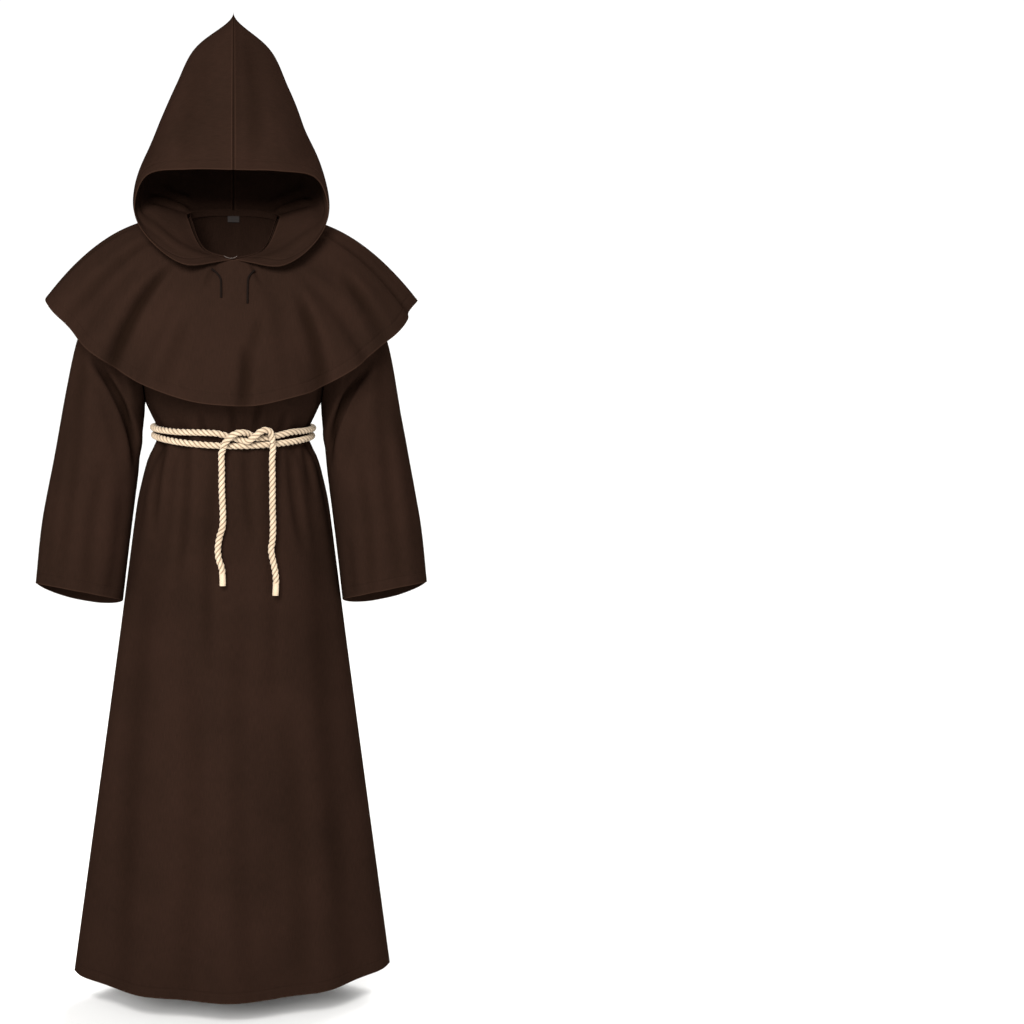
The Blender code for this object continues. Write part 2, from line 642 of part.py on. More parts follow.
def cape_front(x, z, lift):
    """Point that lies a distance above the front of the cape at a width and a height."""
    angle, out = 0.0, SEATING_START
    for _ in range(SEATING_STEPS):
        point = cape_point(angle, out)
        out += OUT_PER_METRE * (point.z - z)
        angle += DEGREES_PER_METRE * (x - point.x)
    run = cape_point(angle + 0.5, out) - cape_point(angle - 0.5, out)
    fall = cape_point(angle, out + 0.005) - cape_point(angle, out - 0.005)
    return point + fall.cross(run).normalized() * lift


def string_route(rows):
    """A drawstring end that leaves the seam under the hood's edge and lies on the cape."""
    return [cape_front(x, z, DRAWSTRING / 2 + STRING_CLEARANCE) for x, z in rows]


def build_label(name):
    """The plain size label, laid on the inside of the back panel below the neckline."""
    low_row, high_row = CHEST_ROWS[-2:]
    edge = 2 / BACK_COLUMNS

    def panel(column, share):
        low, high = body_point(column, low_row, 1), body_point(column, high_row, 1)
        return low + (high - low) * share

    run = panel(edge, 0.5) - panel(-edge, 0.5)
    normal = (panel(0, 1) - panel(0, 0)).cross(run).normalized()

    def surface(column, share):
        return panel(column, share) - normal * (CLOTH + SEAM)

    return build_wall(name, surface, (-edge, 0.0, edge), LABEL_ROWS,
                      lambda column, row, out: normal, turn=-1, thick=LABEL)


for leftover in list(bpy.data.objects):
    bpy.data.objects.remove(leftover, do_unlink=True)
costume = bpy.data.collections.new("medieval_robe_costume")
bpy.context.scene.collection.children.link(costume)

brown = make_material("brown_cloth", BROWN_CLOTH)
cotton = make_material("cotton_rope", COTTON_ROPE)
dark = make_material("dark_cord", DARK_CORD)
grey = make_material("grey_label", GREY_LABEL)

upper_turn = even_points(upper_turn_route(), TURN_SPACING)
left_end = hanging_route(upper_turn[0], upper_turn[1], HANGING_LEFT)
right_end = hanging_route(upper_turn[-1], upper_turn[-2], HANGING_RIGHT)
left_string = even_points(string_route(STRING_LEFT), STRING_SPACING)
right_string = even_points(string_route(STRING_RIGHT), STRING_SPACING)
pieces = [
    (build_panel("robe_front", -1, FRONT_COLUMNS), brown),
    (build_panel("robe_back", 1, BACK_COLUMNS), brown),
    (build_sleeve("sleeve_left", -1), brown),
    (build_sleeve("sleeve_right", 1), brown),
    (build_cape("cape"), brown),
    (build_hood("hood_left", -1), brown),
    (build_hood("hood_right", 1), brown),
    (build_lower_turn("rope_turn_lower"), cotton),
    (build_tube("rope_turn_upper", upper_turn, ROPE), cotton),
    (build_tube("rope_end_left", even_points(left_end, END_SPACING), ROPE), cotton),
    (build_tube("rope_end_right", even_points(right_end, END_SPACING), ROPE), cotton),
    (build_tube("drawstring_left", left_string, DRAWSTRING), dark),
    (build_tube("drawstring_right", right_string, DRAWSTRING), dark),
    (build_label("size_label"), grey),
]
for piece, finish in pieces:
    piece.data.materials.append(finish)
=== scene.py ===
"""Looks of a medieval robe costume: a hooded monk's robe with a shoulder cape and a rope belt.

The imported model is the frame. Each cloth piece is a thin shell on the form of its solid, with the
creases, hems and seams that the solid leaves out, and the rope is twisted from three strands.
"""

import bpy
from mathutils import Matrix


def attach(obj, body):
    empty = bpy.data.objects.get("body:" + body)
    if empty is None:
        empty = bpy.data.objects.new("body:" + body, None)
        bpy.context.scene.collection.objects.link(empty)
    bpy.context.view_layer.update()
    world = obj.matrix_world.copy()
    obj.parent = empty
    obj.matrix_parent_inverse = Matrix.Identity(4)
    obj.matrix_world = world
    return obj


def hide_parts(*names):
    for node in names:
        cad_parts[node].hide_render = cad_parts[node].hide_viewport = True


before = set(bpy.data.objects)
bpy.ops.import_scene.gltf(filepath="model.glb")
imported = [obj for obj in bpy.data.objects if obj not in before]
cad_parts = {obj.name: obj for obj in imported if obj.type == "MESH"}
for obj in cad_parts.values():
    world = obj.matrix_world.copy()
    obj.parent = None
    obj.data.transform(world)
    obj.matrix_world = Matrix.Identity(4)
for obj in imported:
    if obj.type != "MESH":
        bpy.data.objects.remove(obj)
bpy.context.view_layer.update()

import logging
from dataclasses import dataclass, field
from enum import Enum
from functools import reduce
from math import ceil, cos, exp, inf, pi, radians, sin, sqrt
from typing import NamedTuple, Optional, Sequence

import bmesh
import bpy
from mathutils import Matrix, Vector

LOG = logging.getLogger("robe")
MM = 0.001
BODY = "root"

CLOTH = 1.6 * MM
SEAM = 0.3 * MM
ROPE = 11.6 * MM
DRAWSTRING = 3.4 * MM
# A crease dies out over a quarter of its length past each end, and has a low ridge on both sides.
CREASE_RUN_OUT = 0.25
CREASE_RIDGE = 0.35
CREASE_RIDGE_OFF = 1.9
CREASE_REACH = 4
ARMPIT_HEIGHT = -0.320
BELT_HEIGHT = -0.378
SHOULDER_TIP = (0.190, -0.022)
SHOULDER_SLOPE = 1.7
NECK_SHARE = 0.42
NECKLINE_INSET = 2.8 * MM
NECKLINE_DROP = 4.5 * MM
ARMHOLE_BULGE = 0.055
CHEST_CURVE = 2.5
CHEST_BULGE = 0.005
CUFF_FRONT_LIFT = 0.37
SLEEVE_BULGE = 0.8
SKIRT_WAVES = 5
SKIRT_WAVE_DEPTH = 0.006
SLEEVE_FOLD_LINE = ((0.232, -0.240), (0.168, -0.410))
SLEEVE_FOLD_DEPTH = 0.013
SLEEVE_FOLD_WIDTH = 0.017
SLEEVE_CLEARANCE = 0.2 * MM
CAPE_HEM_WIDTH = 0.330
CAPE_HEM_FRONT = 0.172
CAPE_HEM_BACK = 0.180
CAPE_HEM_SIDE_Z = -0.133
CAPE_HEM_FRONT_Z = -0.308
CAPE_HEM_BACK_Z = -0.240
CAPE_HEM_CURVE = 1.65
CAPE_MIDDLE_WIDTH = 0.205
CAPE_MIDDLE_FRONT = 0.143
CAPE_MIDDLE_BACK = 0.140
CAPE_MIDDLE_SIDE_Z = -0.021
CAPE_MIDDLE_FRONT_Z = -0.150
CAPE_MIDDLE_BACK_Z = -0.048
CAPE_LEAN = 0.35
HOOD_MIDDLE = (0, 0.010, 0.130)
HOOD_RIGHT_NARROWER = 0.035
HOOD_NEAR_SEAM = 0.004
SHARP_EDGE = 60
SEWN_OVERLAP = 0.05 * MM
HOOD_TUCKED_IN = 3.0 * MM


class Ring(NamedTuple):
    """A level section of the robe below the armpits."""

    height: float
    half_width: float
    front: float
    back: float
    point: float
    drop_front: float
    drop_back: float


class Gather(NamedTuple):
    """A fold that the belt gathers in, by its place across the panel."""

    across: float
    depth: float
    width: float
    above: float
    below: float
    drift: float


class Cuff(NamedTuple):
    """A section of a sleeve, by the share of the way from the armhole."""

    along: float
    inner_x: float
    inner_z: float
    outer_x: float
    outer_z: float
    depth: float
    back_drop: float


class Neck(NamedTuple):
    """A point of the neck seam, by its angle from the front."""

    angle: float
    x: float
    y: float
    z: float


class CapeFold(NamedTuple):
    """A fold of the cape that opens towards the hem."""

    angle: float
    depth: float
    width: float
    reach: float
    lean: float


class Crease(NamedTuple):
    """A soft trough between two places on a piece, in that piece's own two measures.

    depth is in millimetres and is negative for a ridge; bow bends its middle sideways.
    """

    a0: float
    b0: float
    a1: float
    b1: float
    depth: float
    width: float
    bow: float = 0.0


def rows_of(kind: type, *rows: tuple[float, ...]) -> tuple:
    """A table's rows, each as a named tuple of that kind."""
    return tuple(kind(*row) for row in rows)


BODY_RINGS = rows_of(Ring,
    (-1.367, 0.29, 0.168, 0.15, 1.6, 0.009, 0.008), (-1.05, 0.246, 0.15, 0.136, 1.5, 0.005, 0.004),
    (-0.75, 0.2045, 0.135, 0.126, 1.35, 0.002, 0.001), (-0.605, 0.1852, 0.128, 0.122, 1.25, 0.0, 0.0),
    (-0.5, 0.1708, 0.122, 0.118, 1.15, 0.0, 0.0), (-0.456, 0.1612, 0.117, 0.114, 1.1, 0.0, 0.0),
    (-0.42, 0.1512, 0.111, 0.108, 1.05, 0.0, 0.0), (-0.395, 0.1392, 0.105, 0.102, 1.00, 0.0, 0.0),
    (-0.378, 0.1335, 0.103, 0.1, 1.00, 0.0, 0.0), (-0.36, 0.1365, 0.105, 0.102, 1.00, 0.0, 0.0),
    (-0.342, 0.145, 0.11, 0.107, 1.00, 0.0, 0.0), (-0.32, 0.155, 0.118, 0.113, 1.00, 0.0, 0.0)
)
BACK_GATHERS = rows_of(Gather,
    (-0.86, 0.007, 0.05, 0.1, 0.16, -0.1), (-0.7, 0.01, 0.045, 0.13, 0.22, -0.08),
    (-0.53, 0.009, 0.04, 0.09, 0.15, -0.05), (-0.38, 0.012, 0.042, 0.15, 0.3, -0.03),
    (-0.24, 0.009, 0.036, 0.1, 0.18, -0.02), (-0.1, 0.012, 0.04, 0.16, 0.26, 0.00),
    (0.04, 0.01, 0.036, 0.12, 0.34, 0.00), (0.18, 0.012, 0.04, 0.15, 0.22, 0.02),
    (0.33, 0.009, 0.038, 0.11, 0.28, 0.03), (0.48, 0.012, 0.042, 0.14, 0.2, 0.05),
    (0.64, 0.009, 0.042, 0.1, 0.24, 0.08), (0.81, 0.008, 0.05, 0.12, 0.16, 0.1)
)
FRONT_GATHERS = rows_of(Gather,
    (-0.78, 0.005, 0.07, 0.07, 0.26, -0.06), (-0.5, 0.006, 0.075, 0.09, 0.34, -0.05),
    (-0.22, 0.004, 0.07, 0.06, 0.22, -0.02), (0.1, 0.005, 0.07, 0.07, 0.3, 0.01),
    (0.36, 0.006, 0.075, 0.08, 0.24, 0.03), (0.6, 0.005, 0.07, 0.07, 0.36, 0.05),
    (0.84, 0.005, 0.06, 0.08, 0.22, 0.07)
)
SLEEVE_RINGS = rows_of(Cuff,
    (0.00, 0.155, -0.32, 0.19, -0.022, 0.055, 0.000), (0.1, 0.157, -0.334, 0.217, -0.058, 0.058, 0.000),
    (0.22, 0.159, -0.35, 0.245, -0.122, 0.061, 0.002), (0.36, 0.162, -0.39, 0.2725, -0.203, 0.062, 0.004),
    (0.5, 0.168, -0.448, 0.292, -0.3, 0.062, 0.008), (0.66, 0.177, -0.516, 0.314, -0.415, 0.061, 0.012),
    (0.83, 0.187, -0.594, 0.3365, -0.532, 0.06, 0.018), (1.00, 0.1965, -0.676, 0.35, -0.645, 0.059, 0.027)
)
NECK_SEAM = rows_of(Neck,
    (0, 0.000, -0.1, -0.06), (36, 0.052, -0.079, -0.044), (76, 0.077, -0.026, 0.004),
    (108, 0.077, 0.02, 0.015), (144, 0.046, 0.058, 0.02), (180, 0.000, 0.07, 0.021)
)
CAPE_FOLDS = rows_of(CapeFold,
    (-170, 0.014, 5.0, 1.6, 2), (-150, 0.034, 7.0, 1.3, 5), (-122, 0.026, 7.0, 1.6, 4),
    (-96, 0.012, 7.0, 2.2, 2), (-62, 0.014, 8.0, 1.8, 8), (-37, 0.026, 7.0, 1.3, 9),
    (-12, 0.008, 8.0, 1.6, 3), (6, 0.012, 8.0, 1.8, 0), (28, 0.024, 7.0, 1.4, -8),
    (50, 0.018, 7.0, 1.6, -8), (78, 0.012, 8.0, 1.9, -5), (102, 0.014, 7.0, 2.2, -2),
    (124, 0.028, 7.0, 1.5, -4), (148, 0.036, 7.0, 1.3, -5), (169, 0.012, 5.0, 1.6, -2)
)
HOOD_NET = (
    ((.003, -.1000, -.0600), (.052, -.079, -.0440), (.077, -.026, .004), (.077, .020, .015),
     (.046, .058, .020), (0, .070, .021)),
    ((.080, -.1300, -.0720), (.112, -.090, -.028), (.130, -.030, .017), (.118, .040, .030),
     (.066, .082, .046), (0, .096, .058)),
    ((.142, -.1050, -.0320), (.160, -.068, -.002), (.162, -.012, .028), (.144, .056, .058),
     (.084, .108, .088), (0, .128, .112)),
    ((.171, -.0640, .0200), (.173, -.034, .044), (.161, .012, .078), (.134, .072, .114),
     (.080, .124, .150), (0, .144, .182)),
    ((.149, -.0800, .0790), (.151, -.048, .106), (.141, .004, .144), (.118, .060, .186),
     (.072, .108, .226), (0, .126, .262)),
    ((.080, -.1220, .0900), (.093, -.094, .144), (.095, -.047, .202), (.0855, .002, .256),
     (.0655, .042, .304), (0, .076, .334)),
    ((0, -.1400, .0905), (0, -.116, .156), (0, -.088, .222), (0, -.056, .282),
     (0, -.014, .338), (0, .026, .367)),
)


class Hand(Enum):
    """Which side of the costume, by the sign of X."""

    LEFT = -1
    RIGHT = 1


class Turn(NamedTuple):
    """A place on the rope in front of the robe; layer 1 lies one rope in front of layer 0."""

    x: float
    z: float
    layer: float


KNOT_FROM_RIGHT = rows_of(Turn,
    (0.0792, -0.3681, 0.0), (0.0635, -0.3712, 0.0), (0.0496, -0.3718, 0.0), (0.0374, -0.3712, 0.0),
    (0.0265, -0.3638, 0.25), (0.0131, -0.3603, 0.95), (0.0009, -0.3634, 1.1), (-0.0087, -0.3716, 1.1),
    (-0.0145, -0.379, 1.1), (-0.017, -0.387, 1.1)
)
KNOT_FROM_LEFT = rows_of(Turn,
    (-0.0392, -0.3628, 0.0), (-0.0218, -0.365, 0.0), (-0.0044, -0.37, 0.0), (0.0131, -0.3742, 0.25),
    (0.0252, -0.3758, 0.85), (0.0357, -0.3683, 1.1), (0.0461, -0.3596, 1.1), (0.0557, -0.3564, 1.1),
    (0.0635, -0.36, 1.1), (0.0668, -0.37, 1.1), (0.0675, -0.379, 1.1)
)
HANGING_LEFT = rows_of(Turn,
    (-0.0205, -0.41, 0.8), (-0.0202, -0.43, 0.5), (-0.02, -0.463, 0.3), (-0.0183, -0.5, 0.2),
    (-0.019, -0.5245, 0.2), (-0.0235, -0.54, 0.2), (-0.0268, -0.56, 0.2), (-0.0258, -0.579, 0.2),
    (-0.0205, -0.596, 0.2), (-0.019, -0.61, 0.2), (-0.0186, -0.6275, 0.2)
)
HANGING_RIGHT = rows_of(Turn,
    (0.0672, -0.405, 0.8), (0.0672, -0.425, 0.5), (0.0677, -0.451, 0.3), (0.0677, -0.4877, 0.2),
    (0.0687, -0.5245, 0.2), (0.0677, -0.549, 0.2), (0.0655, -0.565, 0.2), (0.0677, -0.5813, 0.2),
    (0.0722, -0.603, 0.2), (0.074, -0.6224, 0.2), (0.073, -0.647, 0.2)
)
UPPER_TURN_FRONT = -0.3640
UPPER_TURN_BACK = -0.3760
LOWER_TURN_FRONT = -0.3853
LOWER_TURN_SIDE = -0.3780
LOWER_TURN_BACK = -0.3884
LOWER_TURN_POINTS = 44
ROPE_CLEARANCE = 1.0 * MM
ROPE_PITCH = 28.8 * MM
ROPE_STEP = 1.6 * MM
UPPER_TURN_ANGLES = range(46, 320, 13)
UPRIGHT = Vector((0, 0, 1))
FIRST_ACROSS = Vector((0.3, 0.2, 0.93))
# Cotton yarns of 1.3 mm lie side by side in each strand, and drift one yarn in 6 mm.
YARN = 1.3 * MM
YARN_DRIFT = 6 * MM
STRAND_MIDDLE = 0.40
STRAND_RADIUS = 0.60
STRAND_GROOVE = 0.31
BOUND_RADIUS = 0.93
BINDING_FADE = 6 * MM
STRING_STEP = 0.8 * MM
BOUND_END = 24 * MM
STRING_CLEARANCE = 0.8 * MM
STRING_LEFT = ((-0.037, -0.080), (-0.028, -0.087), (-0.022, -0.096), (-0.021, -0.108), (-0.021, -0.127))
STRING_RIGHT = ((0.036, -0.081), (0.029, -0.088), (0.025, -0.096), (0.024, -0.112), (0.0237, -0.136))
LABEL = 0.8 * MM
NECK_BAND = 0.7 * MM
NECK_BAND_LOW = -6.0 * MM
NECK_BAND_HIGH = 4.2 * MM
TACK = 0.8 * MM
TACK_STEP = 0.5 * MM
LABEL_COLUMNS = (-2 / 52, -1 / 52, 0.0, 1 / 52, 2 / 52)
LABEL_ROWS = (0.60, 0.69, 0.78, 0.87)
LABEL_FACET_LOW = 0.88
TACK_ROUTE = ((-.0165, -.1035, -.0562), (-.0105, -.1048, -.0590), (-.0045, -.1050, -.0602),
              (.0010, -.1048, -.0592), (.0058, -.1036, -.0566))

CAMERA_PLACE = (0, -4.0, 0.05)
CAMERA_LENS = 78.29
CAMERA_SENSOR = 36
CAMERA_DOWN = 8.07
CAMERA_RIGHT = 7.129
FLOOR_SIZE = 60.0
FLOOR_HEIGHT = -1.42
HORIZON_LIGHT = 1.05
CEILING_LIGHT = 0.25
HORIZON_ENDS = 0.38
CEILING_STARTS = 0.62
SUN_LIGHTS = (
    ("key_sun", (-0.35, -1.0, 0.50), 2.0, 24.0),
    ("back_sun", (0.5, 1.0, 1.0), 2.2, 30.0),
)
SOFT_BOXES = (
    ("front_soft_box", (-0.6, -2.4, 1.1), 85.0, 1.0),
    ("back_soft_box", (0.8, 2.3, 1.7), 60.0, 1.2),
)
SOFT_BOX_AIM = (0.0, 0.0, -0.3)
CLOTH_NODES = ("robe_front", "robe_back", "sleeve_left", "sleeve_right", "cape", "hood_left", "hood_right")
FRONT_CREASES = rows_of(Crease,
    (-.118, -.372, -.139, -.52, 4.8, .007, .004), (-.082, -.366, -.096, -.61, 4.2, .009, -.006),
    (-.058, -.33, -.05, -.372, 3.2, .006), (-.031, -.39, -.044, -.76, 3.5, .012, .008),
    (-.006, -.31, .001, -.372, 3.8, .007, -.003), (.024, -.392, .033, -.54, 2.9, .008, .004),
    (.047, -.3, .04, -.368, 4.8, .006, .003), (.059, -.392, .066, -.83, 2.1, .013, -.007),
    (.088, -.33, .083, -.372, 4.2, .006), (.098, -.385, .121, -.56, 4.8, .008, .004),
    (.121, -.372, .14, -.47, 3.5, .006), (-.15, -.62, -.196, -1.33, 3.1, .022, .01),
    (-.07, -.8, -.094, -1.36, 2.5, .026, -.012), (.01, -.7, .022, -1.35, 2.3, .024, .01),
    (.096, -.88, .118, -1.36, 3.2, .027, -.01), (.15, -.6, .204, -1.34, 2.9, .022, .008)
)
BACK_CREASES = rows_of(Crease,
    (-.116, -.372, -.137, -.5, 3.4, .006, .004), (-.096, -.25, -.113, -.37, 3.6, .006, .003),
    (-.086, -.392, -.1, -.455, 3.4, .005, -.003), (-.065, -.262, -.081, -.372, 3.4, .005, .003),
    (-.059, -.392, -.064, -.64, 3.0, .008, .005), (-.028, -.24, -.039, -.372, 3.8, .005, -.002),
    (-.037, -.392, -.037, -.52, 3.4, .005), (-.014, -.392, -.013, -.465, 2.6, .004),
    (.002, -.225, .006, -.372, 3.2, .005, .003), (.019, -.392, .024, -.69, 2.8, .009, -.005),
    (.031, -.262, .029, -.372, 3.8, .005), (.048, -.392, .057, -.47, 3.4, .005, .002),
    (.064, -.25, .072, -.372, 3.0, .006, -.003), (.078, -.392, .092, -.58, 3.2, .008, .004),
    (.101, -.285, .1, -.372, 3.4, .005), (.112, -.38, .133, -.52, 3.4, .006, .004),
    (-.16, -.64, -.204, -1.34, 2.4, .021, .009), (-.085, -.76, -.104, -1.35, 2.0, .024, -.01),
    (-.012, -.82, -.02, -1.35, 1.8, .026, .008), (.07, -.7, .092, -1.35, 2.2, .023, -.009),
    (.148, -.62, .196, -1.34, 2.4, .021, .01)
)
SLEEVE_CREASES = {
    Hand.LEFT: (
        Crease(.228, -.262, .173, -.412, 9.0, .006, .010),
        Crease(.240, -.262, .186, -.418, -3.5, .009, .010),
        Crease(.213, -.235, .186, -.330, 3.0, .007, .004),
        Crease(.262, -.150, .303, -.610, 3.6, .013, .008),
        Crease(.232, -.440, .256, -.650, 3.0, .012, -.006),
        Crease(.196, -.470, .218, -.655, 2.2, .009, .004),
        Crease(.286, -.330, .327, -.620, 2.4, .010, -.005),
        Crease(-.205, -.240, -.172, -.410, 5.0, .009, -.008),
        Crease(-.255, -.170, -.292, -.640, 3.4, .014, .008),
        Crease(-.215, -.420, -.238, -.670, 3.0, .011, -.006),
    ),
    Hand.RIGHT: (
        Crease(.225, -.268, .171, -.405, 9.0, .006, .011),
        Crease(.237, -.268, .184, -.412, -3.5, .009, .011),
        Crease(.216, -.240, .190, -.322, 2.6, .007, .003),
        Crease(.256, -.170, .296, -.630, 3.4, .014, .007),
        Crease(.225, -.430, .246, -.655, 3.2, .011, -.005),
        Crease(.280, -.290, .330, -.600, 2.6, .011, -.006),
        Crease(.205, -.560, .214, -.668, 2.0, .008),
        Crease(-.208, -.235, -.174, -.400, 4.6, .009, -.008),
        Crease(-.262, -.190, -.300, -.650, 3.6, .013, .007),
        Crease(-.222, -.450, -.246, -.668, 2.8, .012, -.005),
    ),
}
CAPE_CREASES = rows_of(Crease,
    (-39.5, 40, -41.5, 104, 8.0, 1.9, -.5), (-45.5, 52, -48, 104, -4.5, 3.2),
    (-34, 60, -36, 104, -2.4, 3.0), (-14, 0, -17, 34, 2.4, 1.8), (-20, 62, -23, 100, 2.6, 3.0),
    (-60, 34, -66, 100, 3.6, 2.6, 1.0), (-80, 40, -86, 100, 3.0, 2.6), (4, 70, 4, 104, 3.6, 2.0, .3),
    (11, 58, 1.5, 104, 3.8, 2.4, -.8), (15, 0, 17, 30, 2.4, 1.8), (31.5, 56, 29.5, 104, 7.0, 2.2, .6),
    (24.5, 62, 22.5, 104, -3.0, 3.2), (44, 48, 53, 104, -5.0, 3.4, .8), (55.5, 66, 55, 104, 5.0, 2.4),
    (70, 40, 76, 102, 3.0, 2.8), (-40, 0, -44, 22, 2.4, 1.8), (40, 0, 45, 24, 2.4, 1.8),
    (-98, 45, -97, 100, 2.0, 2.4), (99, 45, 102, 100, 2.2, 2.4), (-118, 30, -122, 102, 5.0, 1.8, .8),
    (-136, 40, -139, 100, -2.4, 3.0), (-143, 24, -150, 102, 6.0, 1.6, .8), (-162, 55, -165, 100, 2.4, 2.0),
    (-173, 0, -172, 40, 1.6, 1.4), (120, 32, 124, 102, 4.6, 1.8, -.8), (137, 42, 139, 100, -2.6, 3.0),
    (141, 22, 148, 102, 6.0, 1.6, -.8), (163, 50, 168, 100, 2.6, 2.0), (171, 0, 172, 36, 1.6, 1.4)
)
HOOD_CREASES = {
    Hand.LEFT: (
        Crease(6, 84, 66, 90, 1.8, 4.0),
        Crease(10, 70, 48, 62, 1.6, 5.0),
        Crease(64, 5, 56, 26, 7.0, 3.2, 2.0),
        Crease(74, 14, 62, 34, 3.0, 2.6),
        Crease(24, 20, 40, 50, 2.2, 4.0),
        Crease(8, 6, 26, 22, 2.0, 3.0),
        Crease(82, 30, 74, 60, 1.8, 3.5),
    ),
    Hand.RIGHT: (
        Crease(6, 92, 72, 93, 2.8, 2.6),
        Crease(14, 74, 52, 68, 1.6, 5.0),
        Crease(66, 5, 58, 24, 7.0, 3.0, 2.0),
        Crease(76, 12, 64, 36, 3.0, 2.6),
        Crease(20, 22, 42, 46, 2.4, 4.0),
        Crease(6, 8, 24, 20, 2.0, 3.0),
        Crease(84, 34, 78, 62, 1.6, 3.5),
    ),
}


class Side(Enum):
    """Which panel of the robe, by the sign of Y that it faces."""

    FRONT = -1
    BACK = 1


def smooth_step(value: float) -> float:
    """0 below 0, 1 above 1, and a smooth rise between them."""
    value = min(max(value, 0.0), 1.0)
    return value * value * (3 - 2 * value)


def bell(distance: float, width: float) -> float:
    """1 in the middle, falling smoothly to nothing on both sides."""
    return exp(-(distance / width) ** 2)


def through(points: Sequence[Vector], share: float) -> Vector:
    """Point at a share of the way along a smooth curve through points.

    Args:
        points: The points that the curve passes through.
        share: How far along, from 0 to 1.

    Returns:
        The point.
    """
    last = len(points) - 1
    place = min(max(share, 0.0), 1.0) * last
    start = min(int(place), last - 1)
    a, b, c, d = (points[min(max(start + k, 0), last)] for k in (-1, 0, 1, 2))
    t = place - start
    return 0.5 * (2 * b + (c - a) * t + (2 * a - 5 * b + 4 * c - d) * t * t
                  + (3 * b - a - 3 * c + d) * t ** 3)


def from_table(rows: Sequence[NamedTuple], value: float) -> NamedTuple:
    """Every column of a table, read smoothly at a value of its first column.

    Args:
        rows: The table, rising in its first column.
        value: Where to read it.

    Returns:
        A row of the table's own type.
    """
    value = min(max(value, rows[0][0]), rows[-1][0])
    start = max(i for i in range(len(rows) - 1) if rows[i][0] <= value)
    here, there = rows[start], rows[start + 1]
    before = rows[start - 1] if start else here
    after = rows[start + 2] if start + 2 < len(rows) else there
    step = there[0] - here[0]
    t = (value - here[0]) / step
    rise_here, rise_there = step / (there[0] - before[0]), step / (after[0] - here[0])
    weights = (2 * t ** 3 - 3 * t * t + 1, (t ** 3 - 2 * t * t + t) * rise_here,
               3 * t * t - 2 * t ** 3, (t ** 3 - t * t) * rise_there)
    return type(here)(*(weights[0] * h + weights[1] * (n - p) + weights[2] * n + weights[3] * (f - h)
                        for p, h, n, f in zip(before, here, there, after)))


def crease_relief(creases: Sequence[Crease], a: float, b: float) -> float:
    """How far the creases move the cloth out at a place, in metres.

    Args:
        creases: The table of troughs and ridges.
        a: First measure of the place.
        b: Second measure of the place.

    Returns:
        The offset along the outward normal.
    """
    total = 0.0
    for crease in creases:
        run_a, run_b = crease.a1 - crease.a0, crease.b1 - crease.b0
        length = sqrt(run_a * run_a + run_b * run_b)
        share = ((a - crease.a0) * run_a + (b - crease.b0) * run_b) / (length * length)
        if not -CREASE_RUN_OUT < share < 1 + CREASE_RUN_OUT:
            continue
        off = ((a - crease.a0) * run_b - (b - crease.b0) * run_a) / length
        off -= crease.bow * 4 * share * (1 - share)
        if abs(off) > crease.width * CREASE_REACH:
            continue
        taper = (smooth_step((share + CREASE_RUN_OUT) / (2 * CREASE_RUN_OUT))
                 * smooth_step((1 + CREASE_RUN_OUT - share) / (2 * CREASE_RUN_OUT)))
        beside = bell(abs(off) - CREASE_RIDGE_OFF * crease.width, crease.width)
        trough = bell(off, crease.width) - CREASE_RIDGE * beside
        total -= crease.depth * MM * trough * taper
    return total


def spread(low: float, high: float, count: int) -> list[float]:
    """Evenly spaced values from low to high, both ends included."""
    return [low + (high - low) * i / count for i in range(count + 1)]


def linear(colour: str) -> tuple[float, float, float, float]:
    """Linear RGBA of an sRGB hex colour such as "36261f"."""
    levels = (int(colour[i:i + 2], 16) / 255 for i in (0, 2, 4))
    return (*(c / 12.92 if c <= 0.04045 else ((c + 0.055) / 1.055) ** 2.4 for c in levels), 1.0)


